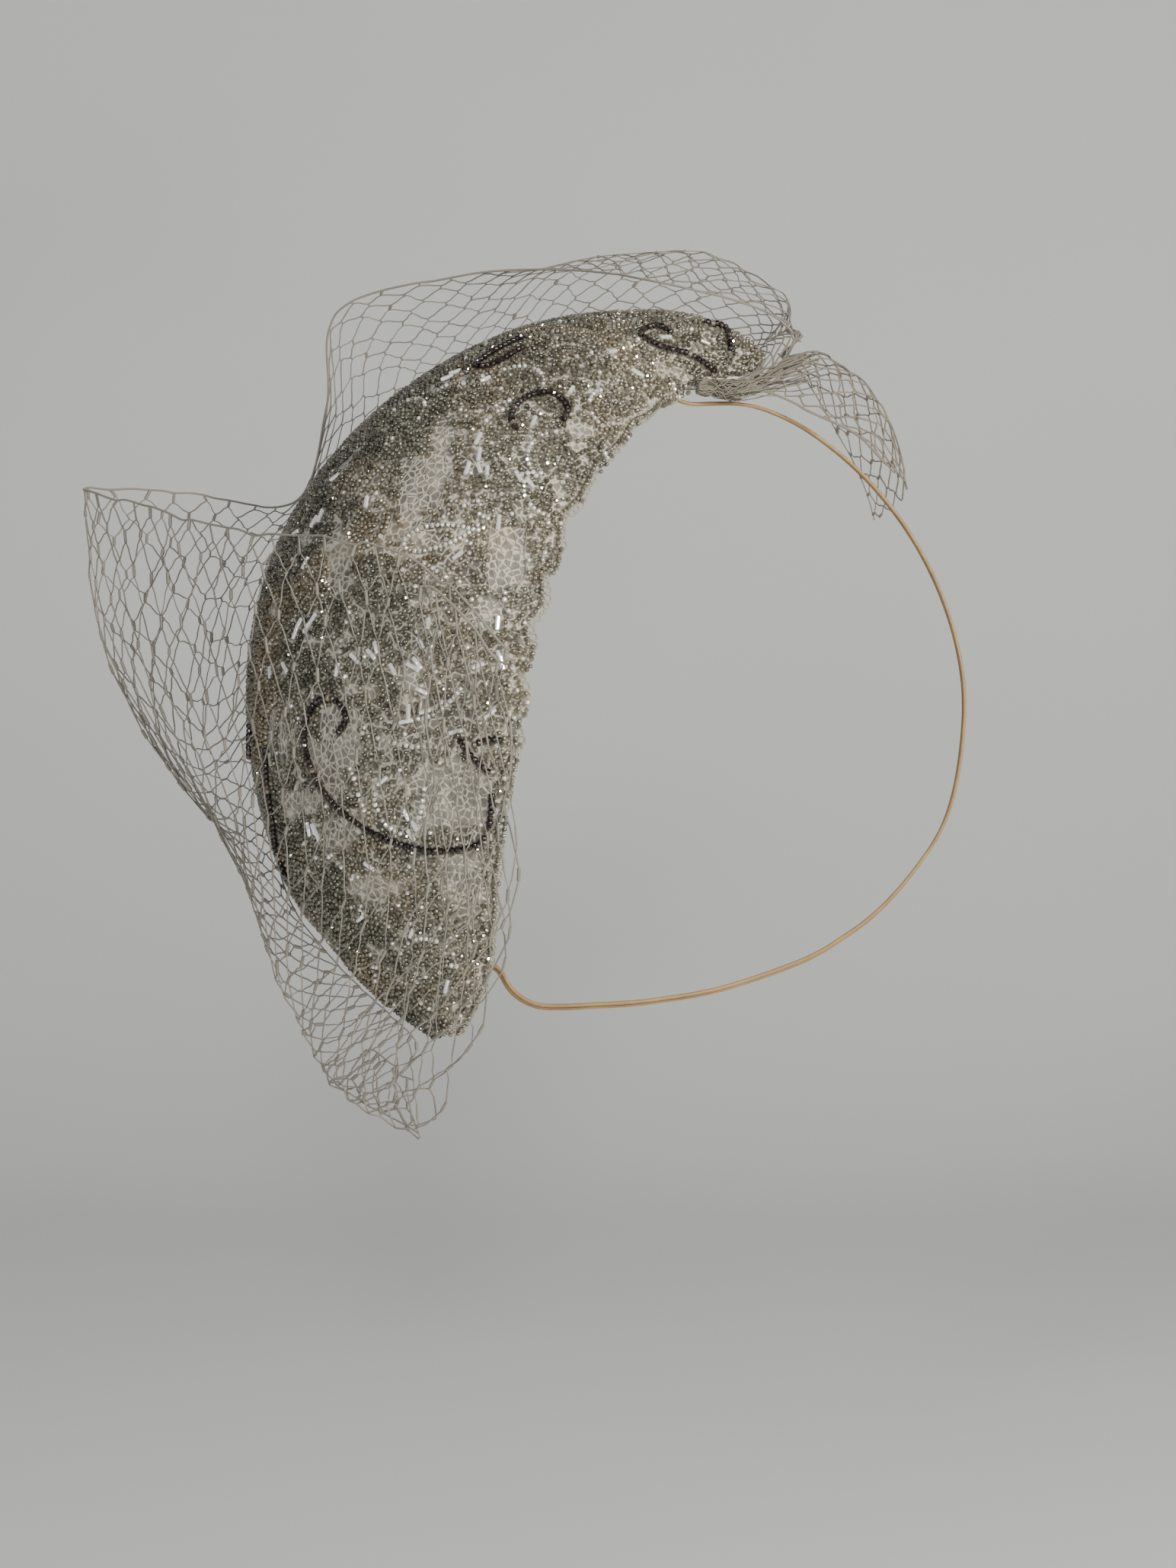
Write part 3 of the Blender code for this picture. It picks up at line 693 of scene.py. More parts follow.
@dataclass
class Shell:
    """The crescent's outer face, and where a place of the photograph lies on it."""

    grid: tuple[int, int] = (260, 70)
    spare_width: tuple[float, float] = (1.047, -0.035)
    step: float = 0.004
    tree: BVHTree = field(init=False)

    def __post_init__(self) -> None:
        """Makes the search tree of the outer face, a little wider than the shell."""
        mesh = bmesh.new()
        bmesh.ops.create_grid(mesh, x_segments=self.grid[0], y_segments=self.grid[1], size=0.5)
        flat = np.array([corner.co for corner in mesh.verts]) + 0.5
        across = flat[:, 1] * self.spare_width[0] + self.spare_width[1]
        for corner, spot in zip(mesh.verts, self.place(flat[:, 0], across)):
            corner.co = spot
        mesh.normal_update()
        self.tree = BVHTree.FromBMesh(mesh)
        mesh.free()

    def place(self, along: np.ndarray, across: np.ndarray) -> np.ndarray:
        """Points of the outer face.

        Args:
            along: From 0 to 1, tip to tip.
            across: From 0 to 1, rear edge to front edge.

        Returns:
            Head millimetres.
        """
        rows = smooth_rows(SHELL_SECTIONS, np.asarray(along) * (len(SHELL_SECTIONS) - 1))
        rear, front, rise = rows[:, 0:3], rows[:, 3:6], rows[:, 6:7]
        chord = np.linalg.norm(front - rear, axis=1, keepdims=True)
        cross = (front - rear) / chord
        middle = (rear + front) / 2
        outward = square_to(middle - HEAD_MIDDLE, cross)
        radius = (chord**2 / 4 + rise**2) / (2 * rise)
        turn = (2 * np.asarray(across)[:, None] - 1) * 2 * np.arctan(2 * rise / chord)
        return middle + outward * (rise - radius) + radius * (np.cos(turn) * outward + np.sin(turn) * cross)

    def normal(self, along: np.ndarray, across: np.ndarray) -> np.ndarray:
        """Outward directions of the outer face.

        Args:
            along: From 0 to 1, tip to tip.
            across: From 0 to 1, rear edge to front edge.

        Returns:
            Unit rows.
        """
        along, across = np.asarray(along, float), np.asarray(across, float)
        ahead, behind = np.minimum(along + self.step, 1), np.maximum(along - self.step, 0)
        run = self.place(ahead, across) - self.place(behind, across)
        side = self.place(along, across + self.step) - self.place(along, across - self.step)
        return self.outward(unit(np.cross(run, side)), self.place(along, across))

    @staticmethod
    def outward(normals: np.ndarray, spots: np.ndarray) -> np.ndarray:
        """Normals at spots, each turned away from the head."""
        return normals * np.sign(np.sum(normals * (spots - HEAD_MIDDLE), axis=1))[:, None]

    def lifted(self, along: np.ndarray, across: np.ndarray, lift: float | np.ndarray) -> np.ndarray:
        """Points that far above the outer face."""
        return self.place(along, across) + self.normal(along, across) * lift

    def seen(self, pixels: Iterable[tuple[float, float]]) -> np.ndarray:
        """Where photo pixels fall on the outer face.

        Args:
            pixels: Their x and y.

        Returns:
            Head millimetres, without the pixels beside the hat.
        """
        spots = []
        for x, y in pixels:
            mark = np.array((x - PHOTO_MIDDLE[0], 0.0, PHOTO_MIDDLE[1] - y)) / PIXELS_PER_MM
            spots.append(self.tree.ray_cast(Vector(EYE), Vector(mark - EYE).normalized())[0])
        return np.array([spot for spot in spots if spot is not None]).reshape(-1, 3)

    def drop(self, points: np.ndarray) -> tuple[np.ndarray, np.ndarray]:
        """The nearest places of the outer face to points near it.

        Args:
            points: Head millimetres.

        Returns:
            The places and the outward directions there.
        """
        found = [self.tree.find_nearest(Vector(point))[:2] for point in points]
        spots, normals = (np.array(column) for column in zip(*found))
        return spots, self.outward(normals, spots)


@dataclass
class Swarm:
    """Many copies of one small shape, joined in one mesh, each with its own tone.

    A share of the copies is cut: their flat facets throw the lights back as glints.
    """

    name: str
    template: bmesh.types.BMesh
    cut_share: float = 0.45
    copies: list = field(default_factory=list)

    def add(self, spot: np.ndarray, axis: np.ndarray, normal: np.ndarray, size: tuple, tone: float) -> None:
        """Adds one copy.

        Args:
            spot: Its middle, in head millimetres.
            axis: The direction of the shape's Z.
            normal: A direction beside it, for the shape's X.
            size: The shape's size along its X, Y and Z.
            tone: Its tone, from 0 to 1.
        """
        self.copies.append((spot, (normal, np.cross(axis, normal), axis), size, tone))

    def mesh(self) -> bpy.types.Mesh:
        """Joins the copies in one mesh, with the tone attribute on its faces.

        Returns:
            The mesh.
        """
        self.template.verts.index_update()
        corners = np.array([corner.co for corner in self.template.verts])
        faces = [[corner.index for corner in face.verts] for face in self.template.faces]
        spots, turns, sizes, tones = (np.array(column) for column in zip(*self.copies))
        count = len(spots)
        places = to_row(spots[:, None, :] + (corners[None] * sizes[:, None, :]) @ turns)
        loops = np.concatenate(faces)[None] + np.arange(count)[:, None] * len(corners)
        lengths = np.tile([len(face) for face in faces], count)
        data = bpy.data.meshes.new(self.name)
        data.vertices.add(count * len(corners))
        data.vertices.foreach_set("co", places.astype(np.float32).ravel())
        data.loops.add(loops.size)
        data.loops.foreach_set("vertex_index", loops.ravel().astype(np.int32))
        data.polygons.add(len(lengths))
        starts = np.concatenate(([0], np.cumsum(lengths)[:-1]))
        data.polygons.foreach_set("loop_start", starts.astype(np.int32))
        round_ones = np.random.default_rng(count).random(count) > self.cut_share
        data.polygons.foreach_set("use_smooth", np.repeat(round_ones, len(faces)))
        data.update(calc_edges=True)
        tone = data.attributes.new("tone", "FLOAT", "FACE")
        tone.data.foreach_set("value", np.repeat(tones, len(faces)).astype(np.float32))
        data.validate()
        return data


def seed_shape(sides: int = 8, rings: int = 4) -> bmesh.types.BMesh:
    """A seed bead of one unit each way: a squat ball with flattened ends, its hole's line along Z.

    Args:
        sides: Faces round the hole's line.
        rings: Rows of faces along it.

    Returns:
        The bead.
    """
    mesh = bmesh.new()
    bmesh.ops.create_uvsphere(mesh, u_segments=sides, v_segments=rings, radius=0.5)
    bmesh.ops.scale(mesh, vec=(1.0, 1.0, 1.15), verts=mesh.verts)
    for corner in mesh.verts:
        corner.co.z = max(-0.45, min(0.45, corner.co.z))
    return mesh


def bugle_shape(sides: int = 8) -> bmesh.types.BMesh:
    """A bugle of one unit each way: a short tube of glass with softened ends, along Z.

    Args:
        sides: Faces round the tube.

    Returns:
        The bugle.
    """
    mesh = bmesh.new()
    bmesh.ops.create_cone(mesh, cap_ends=True, segments=sides, radius1=0.5, radius2=0.5, depth=1.0)
    ends = [edge for edge in mesh.edges if abs(edge.verts[0].co.z - edge.verts[1].co.z) < 0.1]
    bmesh.ops.bevel(mesh, geom=ends, offset=0.06, segments=1, profile=0.5, affect="EDGES", material=-1)
    return mesh


@dataclass
class Beadwork:
    """The beads over the lace: motifs, bright strings, bugles, edge rows and the fans between them."""

    shell: Shell
    bead_mm: float = 1.5
    squat: float = 0.84
    pitch_mm: float = 1.4
    row_mm: float = 1.65
    bugle_mm: tuple[float, float] = (1.3, 4.0)
    fan_mm: float = 7.8
    # A bead's room as a share of the pitch, its height over the lace as a share of its size.
    room: float = 0.84
    sink: float = 0.42
    # How sizes, tilts and tones vary. An odd bead here and there is painted brighter as a highlight, beads
    # that face up or toward the front get painted shade, and the front edge's rows are darker.
    sizes: tuple[float, float] = (0.88, 1.08)
    tilt: float = 0.10
    tones: tuple[float, float] = (0.22, 0.52)
    tone_scatter: float = 0.08
    painted_glint_share: float = 0.07
    painted_glint_tone: float = 0.45
    shadow_tone: float = 0.32
    edge_tone: float = -0.42
    # Up to which share of the tries fans are worked, and up to which bugles are sewn on.
    fan_tries: float = 0.25
    bugle_tries: float = 0.28
    fan_radii: tuple[float, float] = (5.5, 9.0)
    fan_rows: int = 6
    tries: int = 15000
    seed: int = 7
    taken: dict = field(default_factory=dict)
    swarms: dict = field(default_factory=dict)

    def __post_init__(self) -> None:
        """Starts the random numbers and the meshes."""
        self.rng = np.random.default_rng(self.seed)
        for name in ("lower", "middle", "upper", "top", "far", "aurora"):
            self.swarms["seed_beads_" + name] = Swarm("seed_beads_" + name, seed_shape())
        self.swarms["bugles"] = Swarm("bugles", bugle_shape(), cut_share=0.8)

    def free(self, spot: np.ndarray, reach: float) -> bool:
        """Whether no bead lies within a distance of a place.

        Args:
            spot: The place.
            reach: The distance in millimetres.

        Returns:
            True where there is room.
        """
        x, y, z = np.floor(spot / CELL_MM).astype(int)
        near = (other for i, j, k in NEIGHBOURS for other in self.taken.get((x + i, y + j, z + k), ()))
        return all((spot - other) @ (spot - other) >= reach * reach for other in near)

    def take(self, spot: np.ndarray) -> None:
        """Marks a place as filled."""
        self.taken.setdefault(tuple(np.floor(spot / CELL_MM).astype(int)), []).append(spot)

    def thread(self, line: np.ndarray, name: str = "", bright: float = 0.0, size: float = 1.0,
               spare: bool = False) -> None:
        """Strings seed beads along a line near the shell, where there is room.

        Args:
            line: The line's points, in head millimetres.
            name: The mesh to use, or the one for the place.
            bright: How much brighter than usual the beads are.
            size: The beads' size as a share of the usual one.
            spare: Whether bare patches are left bare.
        """
        if len(line) < 2:
            return
        spots, normals = self.shell.drop(even_line(line, self.pitch_mm * size, smooth=False))
        runs = runs_of(spots)
        own_tone = self.rng.uniform(*self.tones) + bright
        for spot, run, side, normal in zip(spots, runs, square_to(normals, runs), normals):
            if not self.free(spot, self.room * self.pitch_mm * size) or spare and self.bare(spot):
                continue
            self.take(spot)
            across = self.bead_mm * size * self.rng.uniform(*self.sizes)
            place = spot + side * (LACE_FACE + self.sink * across)
            tone = own_tone + self.rng.normal(0, self.tone_scatter)
            # A few beads, picked at random, are painted bright as highlights.
            tone += self.painted_glint_tone if self.rng.random() < self.painted_glint_share else 0.0
            # Painted shade: beads that face up or toward the front, away from the lights, are made darker.
            tone -= self.shadow_tone * np.clip(0.4 * normal[2] - normal[0] - 0.2, 0, 1)
            tone = np.clip(tone, 0.06 * self.rng.random(), 1)
            run = unit(run + self.rng.normal(0, self.tilt, 3))
            self.swarms[name or self.home(spot)].add(
                place, run, square_to(side, run), (across, across, across * self.squat), tone)

    def home(self, spot: np.ndarray) -> str:
        """The mesh that beads at a place belong to.

        Args:
            spot: Head millimetres.

        Returns:
            Its name.
        """
        if spot[1] > -8 and spot[0] < -40 or spot[1] > 12:
            return "seed_beads_far"
        for name, level in SEED_LEVELS:
            if spot[2] > level:
                return "seed_beads_" + name
        return "seed_beads_lower"

    def frame_at(self, spot: np.ndarray) -> tuple[np.ndarray, np.ndarray, np.ndarray, np.ndarray]:
        """The shell's place nearest to a point, and directions there.

        Args:
            spot: Head millimetres.

        Returns:
            The place, the level and the upward direction in the shell's face, and the outward one.
        """
        spots, normals = self.shell.drop(spot[None])
        level = unit(np.cross(np.array((0.0, 0.0, 1.0)), normals[0]))
        level *= 1.0 if level[0] > 0 or abs(level[0]) < 0.2 and level[1] > 0 else -1.0
        upward = unit(np.cross(normals[0], level))
        return spots[0], level, upward * (1.0 if upward[2] > 0 else -1.0), normals[0]

    def outline(self, spot: np.ndarray, flat: np.ndarray, turn: float, bright: float = 0.0,
                spare: bool = False) -> None:
        """Strings beads along a flat outline laid on the shell round a place.

        Args:
            spot: The place.
            flat: The outline's points in millimetres, level and upward.
            turn: How far it is turned, in radians.
            bright: How much brighter than usual the beads are.
            spare: Whether bare patches are left bare.
        """
        middle, level, upward, _ = self.frame_at(spot)
        flat = turned(flat, turn)
        self.thread(middle + flat[:, :1] * level + flat[:, 1:] * upward, bright=bright, spare=spare)

    def motif(self, form: Form, spot: np.ndarray, radius: float, aspect: float, turn: float, rows: int,
              spare: bool = False) -> None:
        """Works one motif.

        Args:
            form: Its form.
            spot: Its middle.
            radius: Its radius in millimetres.
            aspect: Its width over its height, or a leaf's height over its length.
            turn: In radians.
            rows: How many rows of beads it has.
            spare: Whether bare patches are left bare.
        """
        lap = np.linspace(0, 2 * math.pi, 40)
        own_tone = self.rng.uniform(-0.16, 0.1)
        for row in range(rows):
            reach = radius - row * self.row_mm
            if reach < 0.8:
                break
            if form is Form.LOOP:
                flat = (aspect * reach * np.cos(lap), reach * np.sin(lap))
            elif form is Form.LEAF:
                half = aspect * reach * np.sin(lap / 2) ** 0.8 * np.sign(math.pi - lap + 1e-9)
                flat = (reach * np.cos(lap), np.abs(np.sin(lap)) * half)
            elif form is Form.ROSETTE:
                petal = reach * (1 + 0.22 * np.cos(6 * lap))
                flat = (petal * np.cos(lap), petal * np.sin(lap))
            else:
                sweep = np.linspace(-1.15, 1.15, 24)
                flat = (reach * np.cos(sweep) - radius / 2, reach * np.sin(sweep))
            outer = 0.14 if spare else 0.42
            self.outline(spot, np.column_stack(flat), turn, own_tone + (0.0 if row else outer), spare)

    def bugle(self, spot: np.ndarray, turn: float, share: float, tone: float) -> None:
        """Sews one bugle on.

        Args:
            spot: Its place.
            turn: Its turn from level, in radians.
            share: Its length as a share of the usual one.
            tone: From 0 to 1.
        """
        middle, level, upward, normal = self.frame_at(spot)
        axis = math.cos(turn) * level + math.sin(turn) * upward
        across, length = self.bugle_mm[0], self.bugle_mm[1] * share
        for step in np.arange(-length / 2, length / 2 + 0.1, 1.2):
            self.take(middle + axis * step)
        place = middle + normal * (LACE_FACE + across * 0.55)
        self.swarms["bugles"].add(place, axis, square_to(normal, axis), (across, across, length), tone)

    def bare(self, spot: np.ndarray) -> bool:
        """Whether a place lies in a patch without beads: on the seen side, those of the photograph.

        Args:
            spot: Head millimetres.

        Returns:
            True in a bare patch.
        """
        if spot[1] > -2:
            return math.sin(spot[0] * 0.11) + math.sin(spot[2] * 0.13 + 1) + math.sin(spot[1] * 0.15) > 1.5
        share = EYE[1] / (EYE[1] - spot[1])
        x, y = to_pixel(EYE[0] + (spot[0] - EYE[0]) * share, EYE[2] + (spot[2] - EYE[2]) * share)
        for px, py, half_x, half_y, turn in CLOTH_PATCHES:
            angle = math.radians(turn)
            a = (x - px) * math.cos(angle) + (y - py) * math.sin(angle)
            b = -(x - px) * math.sin(angle) + (y - py) * math.cos(angle)
            ripple = math.sin(spot[0] * 0.8 + px) + math.sin(spot[2] * 0.65 + py)
            if (a / half_x) ** 2 + (b / half_y) ** 2 < 1 + 0.35 * ripple:
                return True
        return False

    def edge_rows(self) -> None:
        """Strings the close dark rows along the front edge and one along the rear scallops."""
        along = np.linspace(0.01, 0.99, 600)
        for across in FRONT_ROWS:
            self.thread(self.shell.place(along, np.full_like(along, across)), bright=self.edge_tone)
        rear = -0.006 - 0.017 * np.abs(np.sin(math.pi * 18 * along))
        self.thread(self.shell.place(along, rear), bright=0.15)
        for lift, reach in RIM_ROWS:
            edge = self.shell.lifted(along, np.full_like(along, reach), lift)
            line = even_line(edge, self.pitch_mm, smooth=False)
            runs = runs_of(line)
            for spot, run, out in zip(line, runs, square_to(unit(line - HEAD_MIDDLE), runs)):
                size = self.bead_mm * self.rng.uniform(0.9, 1.05)
                # A few rim beads are painted bright as highlights.
                tone = 0.06 + 0.3 * self.rng.random() + (0.5 if self.rng.random() < 0.08 else 0.0)
                self.swarms[self.home(spot)].add(spot, run, out, (size, size, size * self.squat), tone)

    def flow(self, spot: np.ndarray) -> float:
        """The way that fans and short strings turn at a place, in radians."""
        return 1.9 * math.sin(spot[0] * 0.045 + 0.6) + 1.6 * math.cos(spot[2] * 0.05) + 0.4 * spot[1] * 0.05

    def fill(self) -> None:
        """Fills what is left: the first tries with nested fans, some with bugles, the rest with strings."""
        tries = self.tries
        along, across = self.rng.random(tries), self.rng.uniform(-0.02, 1.0, tries)
        heads = [np.zeros(3)]
        for number, spot in enumerate(self.shell.place(along, across)):
            turn = self.flow(spot) + self.rng.normal(0, 0.45)
            if number < tries * self.fan_tries:
                if np.min(np.linalg.norm(np.array(heads) - spot, axis=1)) > self.fan_mm:
                    heads.append(spot)
                    form = Form.FAN if self.rng.random() < 0.85 else Form.ROSETTE
                    radius = self.rng.uniform(*self.fan_radii)
                    self.motif(form, spot, radius, 1.0, turn, self.fan_rows, spare=True)
            elif number < tries * self.bugle_tries:
                if self.free(spot, 1.5) and not self.bare(spot):
                    # Bugles sewn here are painted dark, as shaded bugles that catch no glint.
                    self.bugle(spot, turn, self.rng.uniform(0.6, 0.95), self.rng.uniform(0.0, 0.35))
            elif self.free(spot, 1.12):
                flat = np.column_stack((np.linspace(-2.5, 2.5, 6), 0.6 * np.sin(np.linspace(0, 3, 6))))
                self.outline(spot, flat, turn, spare=True)

    def ground(self, columns: int = 200, rows: int = 66, thread_mm: float = 0.22,
               zigzag: float = 0.28) -> None:
        """Nets the lace's ground over the bare patches and runs a cord round each.

        Args:
            columns: Cells from tip to tip.
            rows: Cells from edge to edge.
            thread_mm: The ground thread's diameter.
            zigzag: How far a cell's corners stand off its row, as a share of it.
        """
        lines = []
        column = np.arange(columns + 1)
        reach = LACE_FACE + thread_mm / 2
        for row in range(1, rows):
            even = (column + row) % 2 == 0
            bends = row + np.where(even, zigzag, -zigzag)
            points = self.shell.lifted(column / columns, bends / rows, reach)
            bare = np.array([self.bare(point) for point in points])
            next_bends = np.full_like(bends, row + 1 - zigzag)
            tops = self.shell.lifted(column / columns, next_bends / rows, reach)
            lines += [np.array((points[k], tops[k])) for k in column[bare & even]]
            breaks = np.flatnonzero(np.diff(np.concatenate(([0], bare.astype(int), [0]))))
            lines += [points[a:b] for a, b in zip(breaks[::2], breaks[1::2]) if b - a > 1]
        lap = np.linspace(0, 2 * math.pi, 60)
        for number, (x, y, half_x, half_y, turn) in enumerate(CLOTH_PATCHES):
            wave = 1 + 0.09 * np.sin(7 * lap + number)
            flat = np.column_stack((half_x * wave * np.cos(lap), half_y * wave * np.sin(lap)))
            spots = self.shell.seen(turned(flat, math.radians(turn)) + (x, y))
            if len(spots) > 2:
                spots, normals = self.shell.drop(spots)
                cord = spots + normals * (LACE_FACE + 0.3)
                lines += [cord, cord + unit(cord - HEAD_MIDDLE) * 0.2]
        name = "lace_ground_threads"
        add_piece(name, tube_mesh(name, lines, thread_mm / 2, 0), LACE_CORD.material())

    def build(self) -> None:
        """Sews everything on, in order, and makes the meshes."""
        for route in DARK_STRINGS.values():
            for spot in self.shell.seen(to_pixel(x, z) for x, z in smooth_route(route, 12)):
                self.take(spot)
        for x, y, turn in BUGLES:
            for spot in self.shell.seen([(x, y)]):
                # These bugles are painted bright as highlights, where they glint.
                share, tone = self.rng.uniform(0.75, 1.05), self.rng.uniform(0.75, 1.0)
                self.bugle(spot, math.radians(turn), share, tone)
        for route in BRIGHT_STRINGS:
            self.thread(self.shell.seen(smooth_route(route, 10)), bright=0.45, size=1.1)
        self.thread(self.shell.seen(AURORA_MARKS), name="seed_beads_aurora", size=1.15)
        for form, x, y, radius, aspect, turn, rows in MOTIFS:
            for spot in self.shell.seen([(x, y)]):
                self.motif(form, spot, radius, aspect, math.radians(turn), rows)
        self.edge_rows()
        self.fill()
        self.ground()
        special = {"bugles": BUGLE_GLASS.material(), "seed_beads_aurora": AURORA_GLASS.material()}
        seeds = SEED_GLASS.material()
        for name, swarm in self.swarms.items():
            add_piece(name, swarm.mesh(), special.get(name, seeds))


@dataclass
class DarkStrings:
    """The strings of dark beads, each in place of its tube."""

    shell: Shell
    bead_mm: float = 2.1
    squat: float = 0.8
    pitch_mm: float = 1.45
    seed: int = 11

    def build(self) -> None:
        """Makes every string."""
        rng = np.random.default_rng(self.seed)
        finish = DARK_GLASS.material()
        for name, route in DARK_STRINGS.items():
            seen = self.shell.seen(to_pixel(x, z) for x, z in smooth_route(route, 16))
            spots, normals = self.shell.drop(even_line(seen, self.pitch_mm, smooth=False))
            swarm = Swarm("dark_" + name, seed_shape(10, 5))
            for spot, run, normal in zip(spots, runs_of(spots), normals):
                size = self.bead_mm * rng.uniform(0.9, 1.06)
                run = unit(run + rng.normal(0, 0.12, 3))
                # Each bead's tone is random; the top few come out painted lighter as warm highlights.
                swarm.add(spot + normal * STRING_LIFT, run, square_to(normal, run),
                          (size, size, size * self.squat), rng.random())
            add_piece(swarm.name, swarm.mesh(), finish, name)


@dataclass
class HatBody:
    """The stiff shell and the lace over it."""

    shell: Shell
    cells: tuple[int, int] = (234, 36)
    scallops: int = 18
    valley: float = 0.009
    tip: float = 0.030
    overhang: float = 0.010
    cord_radius: float = 0.38
    picot_mm: float = 1.9
    seed: int = 17

    def shell_place(self, along: np.ndarray, across: np.ndarray, lift: float) -> np.ndarray:
        """Points of the stiff shell, lifted from its middle layer."""
        return self.shell.lifted(along, across, lift - SHELL_THICKNESS / 2)

    def lace_place(self, along: np.ndarray, across: np.ndarray, lift: float = 0.0) -> np.ndarray:
        """Points of the lace, whose rear edge runs in scallops.

        Args:
            along: From 0 to 1, tip to tip.
            across: From 0 to 1, over the lace's whole width.
            lift: Millimetres out from the lace's middle layer.

        Returns:
            Head millimetres.
        """
        rear = -(self.valley + (self.tip - self.valley) * np.abs(np.sin(math.pi * self.scallops * along)))
        share = rear + (1 + self.overhang - rear) * across
        return self.shell.lifted(along, share, LACE_GAP + LACE_THICKNESS / 2 + lift)

    def picots(self, edge: np.ndarray) -> list[np.ndarray]:
        """Small loops of thread that stand out along an edge.

        Args:
            edge: The edge's points, in head millimetres.

        Returns:
            The loops' lines.
        """
        rng = np.random.default_rng(self.seed)
        loops = []
        places = even_line(edge, self.picot_mm, smooth=False)
        _, normals = self.shell.drop(places)
        turn = np.linspace(-0.35, 2 * math.pi - 0.9, 11)[:, None]
        for place, run, normal in zip(places, runs_of(places), normals):
            reach = rng.uniform(0.7, 1.3)
            lift = normal * rng.uniform(-0.2, 0.4)
            loops.append(place + np.cross(run, normal) * reach * (1 - np.cos(turn)) * 0.8
                         + run * reach * 0.9 * np.sin(turn) + lift * turn / 6)
        return loops

    def build(self) -> None:
        """Makes the shell, the lace and the cord round the lace's scallops."""
        base = bent_sheet("buckram_shell", self.cells, self.shell_place, SHELL_THICKNESS)
        add_piece("buckram_shell", base, BUCKRAM.material(), "foundation")
        sheet = bent_sheet("lace_sheet", self.cells, self.lace_place, LACE_THICKNESS)
        lace = add_piece("lace_sheet", sheet, LACE.material(), "lace_cover")
        along = np.linspace(0.004, 0.996, 900)
        edge = self.lace_place(along, np.zeros_like(along))
        cord = tube_mesh("scallop_cord", [edge] + self.picots(edge), self.cord_radius)
        add_piece("scallop_cord", cord, LACE_CORD.material())


@dataclass
class Net:
    """A knotted net of long honeycomb cells on a surface."""

    name: str
    place: Callable
    columns: int
    rows: int
    thread_mm: float
    finish: Finish
    node: str = ""
    zigzag: float = 0.36
    ripple_mm: float = 0.7
    seed: int = 3
    # Radius of the links, which pull thinner where a cell is stretched, and from which length to which.
    links: tuple = ((0.30, 0.0, 1.6), (0.50, 1.6, 4.5), (0.30, 4.5, 99.0))

    def spot(self, column: np.ndarray, row: np.ndarray) -> np.ndarray:
        """Places of the net, which is uneven and ripples.

        Args:
            column: From 0 to the number of columns.
            row: From 0 to the number of rows.

        Returns:
            Head millimetres.
        """
        wave = (0.16 * np.sin(1.7 * column + 2.3 * row + self.seed)
                + 0.14 * np.sin(0.9 * column - 3.1 * row + 1))
        down = np.clip((row + 0.7 * wave) / self.rows, 0, 1)
        points = self.place(np.clip((column + wave) / self.columns, 0, 1), down)
        ripple = np.sin(0.8 * column + 0.35 * row) * np.sin(0.5 * row + 0.2 * column)
        lift = self.ripple_mm * ripple * np.sin(math.pi * down)
        return points + unit(points - HEAD_MIDDLE) * lift[:, None]

    def build(self) -> bpy.types.Object:
        """Makes the threads, the knots and the edge threads as one mesh.

        Returns:
            The net.
        """
        columns = np.arange(self.columns + 1)
        lines, knots = [], []
        for row in range(self.rows + 1):
            even = (columns + row) % 2 == 0
            inside = 0 < row < self.rows
            bends = self.spot(columns, row + inside * np.where(even, self.zigzag, -self.zigzag))
            lines.append(smooth_rows(bends, np.linspace(0, self.columns, 3 * self.columns + 1)))
            if row < self.rows:
                start = row + (self.zigzag if inside else 0.0)
                end = row + 1 - (self.zigzag if row + 1 < self.rows else 0.0)
                knots += [self.spot(np.array((column, column), float), np.array((start, end)))
                          for column in columns[even]]
        threads = tube_mesh(self.name, lines, self.thread_mm / 2, 0)
        mesh = bmesh.new()
        mesh.from_mesh(threads)
        for radius, low, high in self.links:
            group = [knot for knot in knots if low <= np.linalg.norm(knot[1] - knot[0]) < high]
            if group:
                mesh.from_mesh(tube_mesh(self.name, group, radius, 0))
        mesh.from_mesh(tube_mesh(self.name, [lines[0]], self.thread_mm * 0.75, 1))
        mesh.to_mesh(threads)
        mesh.free()
        return add_piece(self.name, smoothed(threads), self.finish.material(), self.node)


